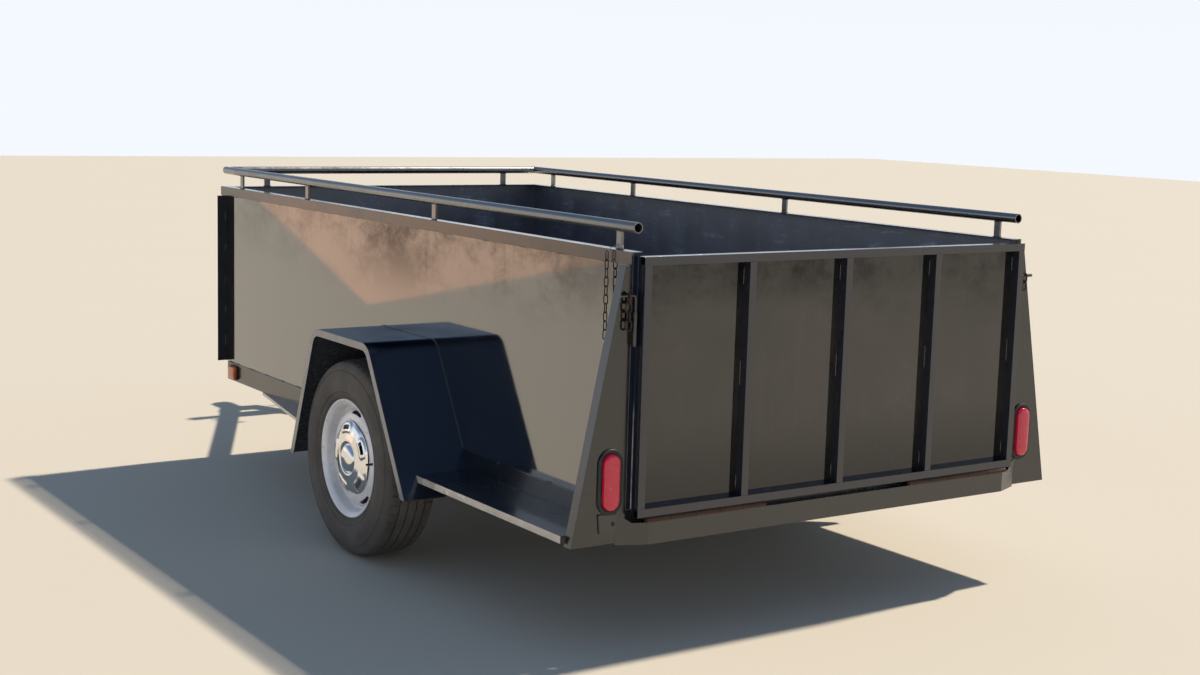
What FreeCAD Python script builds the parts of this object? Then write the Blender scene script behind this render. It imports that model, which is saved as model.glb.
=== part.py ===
import FreeCAD, Part
import math
import os

# Steel-sided single-axle utility trailer, standing level on its wheels and jack.
# Millimetres, +X to the trailer's right, +Y forward to the hitch, +Z up. While it is built, y = 0 is the
# plane of the rear fins and z = 0 the ground; every piece is then moved so that the box's middle is at y = 0.

Vec = FreeCAD.Vector

# Load box
bodyWidth = 1596.0        # over the side plates
bodyLength = 3090.0       # rear end of the side plates to the front plate's outer face
sideTop = 1186.0          # top of the side plates' rail above the ground
wallSheet = 3.0
floorSheet = 3.0
topRailLeg = 38.0
topRailSteel = 3.0
topRailOverhang = 12.0    # rail ends past the front plate

# Frame
railBottom = 355.0
railHeight = 76.0
railFlange = 38.0
railSteel = 5.0
railStand = 6.0           # rails stand proud of the side plates
noseOverhang = 70.0       # the box reaches this far ahead of the frame
crossCount = 7
crossHeight = 60.0
crossFlange = 38.0
crossSteel = 4.0
beamHalf = 738.0          # rear beam
beamDrop = 331.0          # underside of the rear beam
beamTop = 397.0
beamDepth = 38.0
beamSteel = 5.0
cornerPlateReach = 94.0   # bevelled plates from the beam's ends out to the fins
cornerPlateRise = 33.0
cornerPlateClear = 7.0    # flat below the gate and this far past it, then rising

# Tailgate
gateHalf = 779.0
gateTop = 1175.0
gateTube = 25.0           # face width of ribs and bars
gateDepth = 30.0
gateWall = 2.5
ribCount = 5
gateSheet = 3.0
hingeAxisUp = 8.0         # hinge pin above the rear beam
hingeAxisGap = 8.5        # hinge pin below the gate's bottom bar
knuckleRadius = 7.5
hingePinRadius = 4.0
hingeCentre = 525.0
knuckleLength = 88.0
knuckleGap = 2.0
knuckleCount = 5
pinRunning = 0.1

# Rear fins, tail lights
finSteel = 4.0
finFlange = 37.0
finTopReach = 14.0        # beyond the side plate, at the top
finBottomReach = 186.0
finBottom = 338.0
lightCentre = 850.0
lightHeight = 522.0
lightLength = 165.0
lightWidth = 57.0
grommetLip = 10.0
grommetStand = 7.0
lensStand = 12.0

# Tie rail
pipeRadius = 16.0
pipeWall = 3.0
pipeRise = 69.0           # pipe axis above the side plates' rail
pipeInset = 17.0          # pipe axis inside the plates' outer face
postWidth = 26.0
postSteel = 8.0
rearPosts = (90.0, 1210.0)       # forward of the rear end
frontPosts = (840.0, 180.0)      # behind the front plate
frontPostPlace = 600.0

# Fenders, running boards, front side plates
fenderOuter = 1061.0
fenderSheet = 3.0
fenderRim = 25.0
fenderTop = 777.0
fenderCorner = 70.0
fenderRearFoot = (873.0, 298.0)
fenderRearShoulder = 1154.0
fenderFrontShoulder = 1590.0
fenderFrontFoot = (1775.0, 289.0)
boardTop = 370.0
boardSheet = 3.0
boardOuter = 996.0
boardLip = 22.0
wedgeOuter = 967.0
wedgeTip = 2640.0
wedgeLip = 12.0

# Corner angles and side markers
cornerLeg = 38.0
cornerSteel = 3.0
markerSetback = 78.0      # behind the frame's front end
markerLength = 70.0
markerWidth = 62.0
markerDepth = 20.0
markerBase = 6.0
markerEdge = 5.0          # base shows this much round the lens

# Wheels
wheelPlace = 1357.0
tyreRadius = 345.0
tyreWidth = 205.0
wheelCentre = 946.0       # middle of the tyre, from the trailer's centre line
rimRadius = 208.5         # flange of a 15 inch rim
rimWidth = 176.0          # over the flanges
rimSteel = 3.5
flangeHeight = 18.0
flangeFoot = 11.0         # bead seat starts this far inside the flange's outer plane
flangeLip = 4.0
beadGap = 0.3
wellRadius = 165.0        # drop centre of the rim
wellInner = 36.0          # drop centre starts and ends this far from the rim's middle
wellOuter = 26.0
wellSlope = 14.0
discFace = 18.0           # hub mounting face, outward of the rim's middle
discSteel = 5.0
discBore = 42.0
handHoleWidth = 48.0      # round-ended slots through the disc
handHoleDepth = 14.0
handHoleRadius = 145.0
capRadius = 125.0
capDomeRadius = 48.0
capHoleWidth = 27.0       # round-ended openings in the cap's skirt
capHoleDepth = 18.0
capHolePlace = 104.0
holeCount = 6
studCircle = 70.0
studRadius = 6.5
studCount = 6

# Axle and springs
axleTube = 50.0
axleHeight = 245.0
axleWall = 5.0
springPlace = 772.0       # middle of the leaf packs
springSpan = 330.0        # axle to spring eye
springArch = 65.0
leafWidth = 44.5
leafSteel = 6.5
leafShares = (1.0, 0.78, 0.56, 0.34)
seatPad = 5.0
seatGap = 0.4             # the leaf's arch under the flat seat
eyeRadius = 14.0
springPinRadius = 7.0
shackleRun = (52.0, 23.0)
plateSteel = 5.0
dropPlate = 16.0
dropPlateInner = 811.0
dropPlateRadius = 38.0
uBoltRadius = 6.0
uBoltGap = 1.0
spindleRadius = 17.5
spindleEnd = 985.0
hubRunning = 0.1

# Tongue, coupler, jack
tongueWidth = 50.0
tongueWall = 4.0
tongueRootHalf = 560.0
tongueTipHalf = 42.0
tongueLength = 1140.0     # frame front to the tubes' front ends
couplerReach = 120.0      # socket centre ahead of the tubes' ends
ballRadius = 25.4
socketRunning = 0.4
socketWall = 7.0
couplerHeight = 52.0
couplerWidth = 76.0
couplerSteel = 5.0
couplerBack = 110.0       # plate's reach along the tongue tubes
jackSetback = 205.0       # jack axis behind the tubes' front ends
jackRadius = 28.5
jackWall = 3.5
jackTop = 820.0
jackBottom = 285.0
legRadius = 24.0
legWall = 4.0
legTop = 540.0
footRadius = 75.0
footSteel = 8.0
crankReach = 170.0
crankArm = 30.0
crankRadius = 6.0

# Chains and latches
linkRod = 6.0
linkInnerLength = 26.0
linkInnerWidth = 12.0
linkSlack = 0.4
seatSlack = 0.3
latchHeight = 1063.0
latchRadius = 5.0
latchSlack = 0.4
latchStand = 8.0          # latch rod clear of the fin
latchReach = 846.0        # end of the handle, over the fin
latchDrop = 148.0         # pin's point below the handle
latchBend = 9.0
latchWall = 2.0           # barrels that hold the pin
barrelPlaces = ((-50.0, -97.0), (-99.0, -142.0))  # each barrel's top and foot, from the handle
barrelClear = 5.0         # barrels clear of the gate's side
latchChainPlace = 815.0
longChainPlace = 108.0    # forward of the rear end, on the left side

# Derived sizes
halfBody = bodyWidth / 2.0
railOuter = halfBody + railStand
pipeHeight = sideTop + pipeRise
railTop = railBottom + railHeight
floorTop = railTop + floorSheet
frameFront = bodyLength - noseOverhang
sidePostPlaces = rearPosts + tuple(bodyLength - back for back in frontPosts)
markerPlace = frameFront - markerSetback
markerHeight = railBottom + railHeight / 2.0
wedgeTop = railBottom
gateBottom = beamTop + hingeAxisUp + hingeAxisGap
hingeHeight = beamTop + hingeAxisUp
gateFace = -beamDepth
pipeX = halfBody - pipeInset
springEyeHeight = axleHeight - axleTube / 2.0 - seatPad - seatGap - leafSteel / 2.0 + springArch
tongueFront = frameFront + tongueLength
ballPlace = tongueFront + couplerReach
jackPlace = tongueFront - jackSetback
hingeLength = knuckleCount * (knuckleLength + knuckleGap) - knuckleGap
rearmost = gateFace - knuckleRadius
frontmost = ballPlace + ballRadius + socketRunning + socketWall
middleY = (rearmost + frontmost) / 2.0


def block(x0, x1, y0, y1, z0, z1):
    return Part.makeBox(x1 - x0, y1 - y0, z1 - z0, Vec(x0, y0, z0))


def rod(radius, start, end):
    start = Vec(*start)
    run = Vec(*end) - start
    return Part.makeCylinder(radius, run.Length, start, run)


def pipe(radius, wall, start, end):
    run = Vec(*end) - Vec(*start)
    reach = run.normalize()
    inner = rod(radius - wall, Vec(*start) - reach, Vec(*end) + reach)
    return rod(radius, start, end).cut(inner)


def polygon(points):
    return Part.Face(Part.makePolygon([Vec(*p) for p in points] + [Vec(*points[0])]))


def extrudeX(outline, x0, x1):
    return polygon([(x0, y, z) for y, z in outline]).extrude(Vec(x1 - x0, 0, 0))


def extrudeY(outline, y0, y1):
    return polygon([(x, y0, z) for x, z in outline]).extrude(Vec(0, y1 - y0, 0))


def extrudeZ(outline, z0, z1):
    return polygon([(x, y, z0) for x, y in outline]).extrude(Vec(0, 0, z1 - z0))


def mirrored(shape):
    return shape.mirror(Vec(0, 0, 0), Vec(1, 0, 0))


def bothSides(shape):
    return Part.makeCompound([mirrored(shape), shape])


def fused(shapes):
    whole = shapes[0].fuse(shapes[1:])
    return whole.removeSplitter()


def filletedPath(points, radii):
    """Lines and tangent arcs through points, rounded at the inner ones."""
    edges = []
    start = Vec(*points[0])
    for i, radius in enumerate(radii, 1):
        corner = Vec(*points[i])
        back = (Vec(*points[i - 1]) - corner).normalize()
        ahead = (Vec(*points[i + 1]) - corner).normalize()
        half = back.getAngle(ahead) / 2.0
        run = radius / math.tan(half)
        inward = (back + ahead).normalize()
        arcMiddle = corner + inward * (radius / math.sin(half) - radius)
        first = corner + back * run
        last = corner + ahead * run
        edges.append(Part.LineSegment(start, first).toShape())
        edges.append(Part.Arc(first, arcMiddle, last).toShape())
        start = last
    edges.append(Part.LineSegment(start, Vec(*points[-1])).toShape())
    return edges


def bentRod(radius, points, bend):
    """Round bar along straight runs joined by bends."""
    path = Part.Wire(filletedPath(points, [bend] * (len(points) - 2)))
    start = Vec(*points[0])
    ring = Part.Wire(Part.makeCircle(radius, start, Vec(*points[1]) - start))
    return path.makePipe(Part.Face(ring))


def stadium(length, width, y, centreX, centreZ):
    """Upright slot outline, as a face in the plane of y."""
    r = width / 2.0
    straight = (length - width) / 2.0
    left = Vec(centreX - r, y, centreZ - straight)
    right = Vec(centreX + r, y, centreZ - straight)
    up = Vec(0, 0, 2.0 * straight)
    low = Part.Arc(left, Vec(centreX, y, centreZ - length / 2.0), right).toShape()
    high = Part.Arc(right + up, Vec(centreX, y, centreZ + length / 2.0), left + up).toShape()
    sides = [Part.LineSegment(right, right + up).toShape(), Part.LineSegment(left + up, left).toShape()]
    return Part.Face(Part.Wire([low, sides[0], high, sides[1]]))


def channel(height, flange, steel):
    """Channel section as (across, up) points, web at across = 0, flanges towards +."""
    return [(0, 0), (flange, 0), (flange, steel), (steel, steel), (steel, height - steel),
            (flange, height - steel), (flange, height), (0, height)]


def frameRail():
    outline = [(railOuter - a, railBottom + u) for a, u in channel(railHeight, railFlange, railSteel)]
    return extrudeY(outline, finSteel, frameFront)


def frontBeam():
    inner = railOuter - railFlange
    outline = [(frameFront - a, railBottom + u) for a, u in channel(railHeight, railFlange, railSteel)]
    return extrudeX(outline, -inner, inner)


def rearBeam():
    """Channel across the back, each end closed by a plate that bevels forward to the fin."""
    height = beamTop - beamDrop
    outline = [(gateFace + a, beamDrop + u) for a, u in channel(height, beamDepth, beamSteel)]
    back, front = beamHalf, beamHalf + cornerPlateReach
    knee = gateHalf + cornerPlateClear
    kneeY = gateFace * (front - knee) / cornerPlateReach
    cover = polygon([(back, gateFace, beamDrop), (front, 0, beamDrop), (front, 0, beamTop + cornerPlateRise),
                     (knee, kneeY, beamTop), (back, gateFace, beamTop)])
    cover = cover.extrude(Vec(0, beamSteel, 0)).cut(block(back, front, 0, beamSteel, beamDrop, sideTop))
    return fused([extrudeX(outline, -beamHalf, beamHalf), cover, mirrored(cover)])


def crossMembers():
    inner = railOuter - railSteel
    first = crossFlange
    last = frameFront - railFlange - crossFlange
    members = []
    for i in range(crossCount):
        y = first + (last - first) * i / (crossCount - 1.0) - crossFlange / 2.0
        low = railTop - crossHeight - railSteel
        outline = [(y + a, low + u) for a, u in channel(crossHeight, crossFlange, crossSteel)]
        members.append(extrudeX(outline, -inner, inner))
    return Part.makeCompound(members)


def floorPlate():
    """Sheet between the side plates, its rear edge turned down onto the rear beam."""
    inner = halfBody - wallSheet
    return fused([block(-inner, inner, 0, bodyLength - wallSheet, railTop, floorTop),
                  block(-beamHalf, beamHalf, 0, floorSheet, beamTop - floorSheet, floorTop)])


def sideWall():
    return block(halfBody - wallSheet, halfBody, 0, bodyLength, railTop, sideTop - topRailSteel)


def frontWall():
    inner = halfBody - wallSheet
    return block(-inner, inner, bodyLength - wallSheet, bodyLength, railTop, sideTop - topRailSteel)


def topRailSide():
    """Angle lying over the side plate's top edge, a leg outside and a leg inward."""
    outer = halfBody + topRailSteel
    outline = [(outer, sideTop), (outer - topRailLeg, sideTop), (outer - topRailLeg, sideTop - topRailSteel),
               (halfBody, sideTop - topRailSteel), (halfBody, sideTop - topRailLeg),
               (outer, sideTop - topRailLeg)]
    return extrudeY(outline, 0, bodyLength + topRailOverhang)


def topRailFront():
    outer = bodyLength + topRailSteel
    inner = halfBody + topRailSteel - topRailLeg
    outline = [(outer, sideTop), (outer - topRailLeg, sideTop), (outer - topRailLeg, sideTop - topRailSteel),
               (bodyLength, sideTop - topRailSteel), (bodyLength, sideTop - topRailLeg),
               (outer, sideTop - topRailLeg)]
    return extrudeX(outline, -inner, inner)


def cornerAngle():
    """Upright angle at a front corner: one leg along the side, one standing outward."""
    outer = halfBody + cornerSteel
    top = sideTop - topRailLeg
    outline = [(halfBody, bodyLength), (halfBody, bodyLength - cornerLeg), (outer, bodyLength - cornerLeg),
               (outer, bodyLength - cornerSteel), (halfBody + cornerLeg, bodyLength - cornerSteel),
               (halfBody + cornerLeg, bodyLength)]
    return extrudeZ(outline, railTop, top)


def finOuter(z):
    share = (z - finBottom) / (sideTop - finBottom)
    return halfBody + finBottomReach + (finTopReach - finBottomReach) * share


def rearFin():
    """Tapered plate across the rear corner, its sloping edge folded forward, with the light's slot."""
    top = sideTop - topRailLeg
    fold = finSteel / math.cos(math.atan2(finBottomReach - finTopReach, sideTop - finBottom))
    plate = extrudeY([(halfBody, finBottom), (finOuter(finBottom), finBottom),
                      (finOuter(top), top), (halfBody, top)], 0, finSteel)
    flange = extrudeY([(finOuter(finBottom) - fold, finBottom), (finOuter(finBottom), finBottom),
                       (finOuter(top), top), (finOuter(top) - fold, top)], 0, finFlange)
    slot = stadium(lightLength + 2.0, lightWidth + 2.0, -1.0, lightCentre, lightHeight)
    return fused([plate, flange]).cut(slot.extrude(Vec(0, finSteel + 2.0, 0)))


def lightGrommet():
    length = lightLength + 2.0
    width = lightWidth + 2.0
    lip = stadium(length + 2.0 * grommetLip, width + 2.0 * grommetLip, -grommetStand,
                  lightCentre, lightHeight)
    body = stadium(length - 0.4, width - 0.4, -grommetStand, lightCentre, lightHeight)
    hollow = stadium(lightLength - 8.0, lightWidth - 8.0, -grommetStand - 1.0, lightCentre, lightHeight)
    ring = lip.extrude(Vec(0, grommetStand, 0)).fuse(body.extrude(Vec(0, grommetStand + finSteel + 8.0, 0)))
    return ring.cut(hollow.extrude(Vec(0, grommetStand + finSteel + 12.0, 0)))


def tailLight():
    outline = stadium(lightLength - 8.6, lightWidth - 8.6, -lensStand, lightCentre, lightHeight)
    lens = outline.extrude(Vec(0, lensStand + finSteel + 6.0, 0))
    rearEdges = [e for e in lens.Edges if abs(e.BoundBox.YMax + lensStand) < 0.01]
    return lens.makeFillet(lensStand * 0.4, rearEdges)


def tiePipeSide():
    front = bodyLength + pipeRadius - pipeInset
    return pipe(pipeRadius, pipeWall, (pipeX, 0, pipeHeight), (pipeX, front, pipeHeight))


def tiePipeFront():
    inner = pipeX - pipeRadius
    y = bodyLength - pipeInset
    return pipe(pipeRadius, pipeWall, (-inner, y, pipeHeight), (inner, y, pipeHeight))


def tiePost(x, y, alongY):
    wide, thin = postWidth / 2.0, postSteel / 2.0
    halfX, halfY = (thin, wide) if alongY else (wide, thin)
    post = block(x - halfX, x + halfX, y - halfY, y + halfY, sideTop, pipeHeight)
    if alongY:
        saddle = rod(pipeRadius, (x, y - 2 * wide, pipeHeight), (x, y + 2 * wide, pipeHeight))
    else:
        saddle = rod(pipeRadius, (x - 2 * wide, y, pipeHeight), (x + 2 * wide, y, pipeHeight))
    return post.cut(saddle)


def tiePosts():
    posts = [tiePost(side * pipeX, y, True) for side in (-1, 1) for y in sidePostPlaces]
    front = bodyLength - pipeInset
    posts += [tiePost(side * frontPostPlace, front, False) for side in (-1, 1)]
    return Part.makeCompound(posts)


def fenderOutline(inset):
    """Fender path moved inward by inset: feet stay on their own levels."""
    rearRun = (fenderRearShoulder - fenderRearFoot[0]) / (fenderTop - fenderRearFoot[1])
    frontRun = (fenderFrontFoot[0] - fenderFrontShoulder) / (fenderTop - fenderFrontFoot[1])
    rearShift = inset * math.hypot(1.0, rearRun)
    frontShift = inset * math.hypot(1.0, frontRun)
    rearFoot = (0, fenderRearFoot[0] + rearShift, fenderRearFoot[1])
    frontFoot = (0, fenderFrontFoot[0] - frontShift, fenderFrontFoot[1])
    top = fenderTop - inset
    rearShoulder = (0, rearFoot[1] + rearRun * (top - rearFoot[2]), top)
    frontShoulder = (0, frontFoot[1] - frontRun * (top - frontFoot[2]), top)
    corner = fenderCorner - inset
    return filletedPath([rearFoot, rearShoulder, frontShoulder, frontFoot], [corner, corner])


def fenderBand(inset, x0, x1):
    outer = fenderOutline(0.0)
    inner = fenderOutline(inset)
    ends = [Part.LineSegment(outer[0].valueAt(outer[0].FirstParameter),
                             inner[0].valueAt(inner[0].FirstParameter)).toShape(),
            Part.LineSegment(outer[-1].valueAt(outer[-1].LastParameter),
                             inner[-1].valueAt(inner[-1].LastParameter)).toShape()]
    wire = Part.Wire(Part.__sortEdges__(outer + inner + ends))
    face = Part.Face(wire)
    face.translate(Vec(x0, 0, 0))
    return face.extrude(Vec(x1 - x0, 0, 0))


def fender():
    """Folded sheet arch over the wheel with a flat rim turned in along its outer edge."""
    arch = fused([fenderBand(fenderSheet, halfBody, fenderOuter),
                  fenderBand(fenderRim, fenderOuter - fenderSheet, fenderOuter)])
    return arch.cut(block(halfBody, railOuter, 0, frameFront, railBottom, railTop))


def fenderFaceRear(z):
    rise = (z - fenderRearFoot[1]) / (fenderTop - fenderRearFoot[1])
    return fenderRearFoot[0] + (fenderRearShoulder - fenderRearFoot[0]) * rise


def fenderFaceFront(z):
    rise = (z - fenderFrontFoot[1]) / (fenderTop - fenderFrontFoot[1])
    return fenderFrontFoot[0] + (fenderFrontShoulder - fenderFrontFoot[0]) * rise


def runningBoard():
    """Step plate between fin and fender with a turned-down outer lip."""
    def slab(x0, x1, low):
        outline = [(finFlange, low), (fenderFaceRear(low), low), (fenderFaceRear(boardTop), boardTop),
                   (finFlange, boardTop)]
        return extrudeX(outline, x0, x1)
    plate = slab(railOuter, boardOuter, boardTop - boardSheet)
    lip = slab(boardOuter - boardSheet, boardOuter, boardTop - boardLip)
    rearStrip = block(railOuter, finOuter(boardTop) - finSteel * 1.5, finSteel, finFlange,
                      boardTop - boardSheet, boardTop)
    return fused([plate, lip, rearStrip])


def sideWedge():
    """Triangular plate from under the rail out to the fender's front foot, edge turned down."""
    face = fenderFaceFront(wedgeTop - boardSheet)
    under = railOuter - railFlange / 2.0
    plate = extrudeZ([(railOuter, wedgeTip), (under, wedgeTip), (under, face), (wedgeOuter, face)],
                     wedgeTop - boardSheet, wedgeTop)
    face = fenderFaceFront(wedgeTop - wedgeLip)
    run = Vec(railOuter - wedgeOuter, wedgeTip - face, 0)
    shift = boardSheet / (run.y / run.Length)
    lip = extrudeZ([(railOuter, wedgeTip), (wedgeOuter, face), (wedgeOuter - shift, face),
                    (railOuter, wedgeTip - shift * run.y / abs(run.x))], wedgeTop - wedgeLip, wedgeTop)
    return fused([plate, lip])


def sideMarker():
    """Lens on its base plate, on the rail's face."""
    def plate(depth, inset):
        halfLength, halfWidth = markerLength / 2.0 - inset, markerWidth / 2.0 - inset
        return block(railOuter, railOuter + depth, markerPlace - halfLength, markerPlace + halfLength,
                     markerHeight - halfWidth, markerHeight + halfWidth)
    return fused([plate(markerBase, 0.0), plate(markerDepth, markerEdge)])


def gateBars():
    bars = []
    for low in (gateBottom, gateTop - gateTube):
        bar = block(-gateHalf, gateHalf, gateFace, gateFace + gateDepth, low, low + gateTube)
        hollow = block(-gateHalf, gateHalf, gateFace + gateWall, gateFace + gateDepth - gateWall,
                       low + gateWall, low + gateTube - gateWall)
        bars.append(bar.cut(hollow))
    return Part.makeCompound(bars)


def gateRibs():
    ribs = []
    for i in range(ribCount):
        x = -gateHalf + gateTube / 2.0 + (2.0 * gateHalf - gateTube) * i / (ribCount - 1.0)
        low, high = gateBottom + gateTube, gateTop - gateTube
        rib = block(x - gateTube / 2.0, x + gateTube / 2.0, gateFace, gateFace + gateDepth, low, high)
        hollow = block(x - gateTube / 2.0 + gateWall, x + gateTube / 2.0 - gateWall, gateFace + gateWall,
                       gateFace + gateDepth - gateWall, low, high)
        ribs.append(rib.cut(hollow))
    return Part.makeCompound(ribs)


def gatePanel():
    inner = gateFace + gateDepth
    return block(-gateHalf, gateHalf, inner, inner + gateSheet, gateBottom, gateTop)


def knuckle(index, side):
    start = side * hingeCentre - hingeLength / 2.0 + index * (knuckleLength + knuckleGap)
    return start, start + knuckleLength


def beamHinge(side):
    """Fixed knuckles on the rear beam, joined by their pin."""
    start = side * hingeCentre - hingeLength / 2.0
    end = start + hingeLength
    shapes = [rod(hingePinRadius, (start, gateFace, hingeHeight), (end, gateFace, hingeHeight))]
    for i in range(0, knuckleCount, 2):
        x0, x1 = knuckle(i, side)
        shapes.append(rod(knuckleRadius, (x0, gateFace, hingeHeight), (x1, gateFace, hingeHeight)))
        shapes.append(block(x0, x1, gateFace, gateFace + knuckleRadius, beamTop, hingeHeight))
    return fused(shapes)


def gateHinge(side):
    """Moving knuckles under the gate's bottom bar, bored for the pin."""
    knuckles = []
    for i in range(1, knuckleCount, 2):
        x0, x1 = knuckle(i, side)
        barrel = fused([rod(knuckleRadius, (x0, gateFace, hingeHeight), (x1, gateFace, hingeHeight)),
                        block(x0, x1, gateFace, gateFace + knuckleRadius, hingeHeight, gateBottom)])
        bore = rod(hingePinRadius + pinRunning, (x0 - 1.0, gateFace, hingeHeight),
                   (x1 + 1.0, gateFace, hingeHeight))
        knuckles.append(barrel.cut(bore))
    return Part.makeCompound(knuckles)


def leaf(share, drop):
    """One leaf of the pack: an arc in the plane of the wheel, low in the middle."""
    radius = (springSpan ** 2 + springArch ** 2) / (2.0 * springArch)
    centreZ = springEyeHeight - springArch + radius
    half = math.asin(springSpan / radius) * share
    low, high = radius + drop - leafSteel / 2.0, radius + drop + leafSteel / 2.0

    def at(r, angle):
        return Vec(springPlace - leafWidth / 2.0, wheelPlace + r * math.sin(angle),
                   centreZ - r * math.cos(angle))
    wire = Part.Wire([Part.Arc(at(low, -half), at(low, 0), at(low, half)).toShape(),
                      Part.LineSegment(at(low, half), at(high, half)).toShape(),
                      Part.Arc(at(high, half), at(high, 0), at(high, -half)).toShape(),
                      Part.LineSegment(at(high, -half), at(low, -half)).toShape()])
    return Part.Face(wire).extrude(Vec(leafWidth, 0, 0))


def springPack():
    """Leaf pack with rolled eyes, shorter leaves stepping down below the main one."""
    x0, x1 = springPlace - leafWidth / 2.0, springPlace + leafWidth / 2.0
    shapes = [leaf(share, i * leafSteel) for i, share in enumerate(leafShares)]
    for side in (-1, 1):
        y = wheelPlace + side * springSpan
        shapes.append(rod(eyeRadius, (x0, y, springEyeHeight), (x1, y, springEyeHeight)))
    pack = fused(shapes)
    for side in (-1, 1):
        y = wheelPlace + side * springSpan
        pack = pack.cut(rod(springPinRadius + pinRunning, (x0 - 1.0, y, springEyeHeight),
                            (x1 + 1.0, y, springEyeHeight)))
    return pack


def hangerCheeks(y, z, halfBase, inner, outer):
    cheeks = []
    for x0, x1 in (inner, outer):
        plate = extrudeX([(y - halfBase, railBottom), (y - eyeRadius, z), (y + eyeRadius, z),
                          (y + halfBase, railBottom)], x0, x1)
        cheeks.append(plate.fuse(rod(eyeRadius, (x0, y, z), (x1, y, z))))
    return cheeks


def springHangers():
    """Front hanger and rear shackle hanger: two cheeks and their pin, under the rail."""
    gap = 1.0
    x0, x1 = springPlace - leafWidth / 2.0 - gap, springPlace + leafWidth / 2.0 + gap
    inner, outer = (x0 - plateSteel, x0), (x1, x1 + plateSteel)
    front = wheelPlace + springSpan
    hangers = fused(hangerCheeks(front, springEyeHeight, 45.0, inner, outer)
                    + [rod(springPinRadius, (x0 - plateSteel - 8, front, springEyeHeight),
                           (x1 + plateSteel + 8, front, springEyeHeight))])
    rear = wheelPlace - springSpan - shackleRun[0]
    rearZ = springEyeHeight + shackleRun[1]
    sleeve = rod(eyeRadius, (x0 + 3 * gap, rear, rearZ), (x1 - 3 * gap, rear, rearZ))
    stand = block(x0 + 3 * gap, x1 - 3 * gap, rear - eyeRadius, rear + eyeRadius, rearZ, railBottom)
    pin = rod(springPinRadius, (x0 - plateSteel - 8, rear, rearZ), (x1 + plateSteel + 8, rear, rearZ))
    return [hangers, fused([sleeve, stand, pin])]


def shackles():
    """Two links each side from the hanger's pin to the spring's rear eye."""
    gap = 1.0
    x0, x1 = springPlace - leafWidth / 2.0 - gap, springPlace + leafWidth / 2.0 + gap
    low = (wheelPlace - springSpan, springEyeHeight)
    high = (low[0] - shackleRun[0], low[1] + shackleRun[1])
    run = math.hypot(*shackleRun)
    dy, dz = shackleRun[1] / run * eyeRadius, shackleRun[0] / run * eyeRadius
    outline = [(low[0] - dy, low[1] - dz), (low[0] + dy, low[1] + dz),
               (high[0] + dy, high[1] + dz), (high[0] - dy, high[1] - dz)]
    links = []
    for a, b in ((x0 - plateSteel, x0), (x1, x1 + plateSteel)):
        plate = extrudeX(outline, a, b)
        link = fused([plate, rod(eyeRadius, (a, *low), (b, *low)), rod(eyeRadius, (a, *high), (b, *high))])
        links.append(link.cut(rod(springPinRadius + pinRunning, (a - 1, *high), (b + 1, *high))))
    pin = rod(springPinRadius, (x0 - plateSteel - 8, *low), (x1 + plateSteel + 8, *low))
    return fused(links + [pin])


def axleBeam():
    """Square tube between the drop plates."""
    def bar(half):
        return block(-dropPlateInner, dropPlateInner, wheelPlace - half, wheelPlace + half,
                     axleHeight - half, axleHeight + half)
    return bar(axleTube / 2.0).cut(bar(axleTube / 2.0 - axleWall))


def axleSpindle():
    """Upright drop plate on the axle's end with the spindle at its top."""
    a, b = dropPlateInner, dropPlateInner + dropPlate
    shapes = [rod(dropPlateRadius, (a, wheelPlace, z), (b, wheelPlace, z)) for z in (axleHeight, tyreRadius)]
    shapes.append(block(a, b, wheelPlace - dropPlateRadius, wheelPlace + dropPlateRadius,
                        axleHeight, tyreRadius))
    shapes.append(rod(spindleRadius, (b, wheelPlace, tyreRadius), (spindleEnd, wheelPlace, tyreRadius)))
    return fused(shapes)


def axleClamp():
    """Spring seat above the pack, plate below it and two U-bolts over the axle."""
    half = axleTube / 2.0
    packBottom = axleHeight - half - seatPad - leafSteel * len(leafShares)
    legX = leafWidth / 2.0 + uBoltRadius + uBoltGap
    legY = half + uBoltRadius + uBoltGap
    plateX = legX + uBoltRadius + 2.0
    plateY = legY + uBoltRadius + 6.0
    seat = block(springPlace - leafWidth / 2.0, springPlace + leafWidth / 2.0, wheelPlace - half,
                 wheelPlace + half, axleHeight - half - seatPad, axleHeight - half)
    plate = block(springPlace - plateX, springPlace + plateX, wheelPlace - plateY, wheelPlace + plateY,
                  packBottom - plateSteel - 1.0, packBottom - 1.0)
    bolts = []
    for side in (-1, 1):
        x = springPlace + side * legX
        top = axleHeight + half + uBoltRadius + uBoltGap
        foot = packBottom - 20.0
        bolts.append(bentRod(uBoltRadius, [(x, wheelPlace - legY, foot), (x, wheelPlace - legY, top),
                                           (x, wheelPlace + legY, top), (x, wheelPlace + legY, foot)],
                             uBoltRadius + 3.0))
    return [seat, fused([plate] + bolts)]


def revolveX(outline, x0):
    """Solid of revolution about the wheel's axis from (out, radius) points, out measured from x0."""
    face = polygon([(x0 + out, wheelPlace, tyreRadius + r) for out, r in outline])
    return face.revolve(Vec(0, wheelPlace, tyreRadius), Vec(1, 0, 0), 360)


def tyre():
    """Carcass with round shoulders, bulging walls and beads on the rim."""
    half = tyreWidth / 2.0
    height = tyreRadius - rimRadius
    heel = rimWidth / 2.0 - flangeFoot - beadGap
    flange = rimWidth / 2.0 - flangeLip - beadGap
    base = rimRadius - flangeHeight + beadGap
    outside = [(half - 34.0, tyreRadius), (half - 13.0, tyreRadius - 0.17 * height),
               (half, tyreRadius - 0.55 * height), (flange + 6.0, rimRadius + 8.0),
               (flange, rimRadius + beadGap), (heel, base)]
    inside = [(heel - 16.0, base), (half - 14.0, tyreRadius - 0.55 * height),
              (half - 40.0, tyreRadius - 16.0)]
    outerHalf = outside + inside
    section = outerHalf + [(-x, r) for x, r in reversed(outerHalf)]
    return revolveX(section, wheelCentre)


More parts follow.
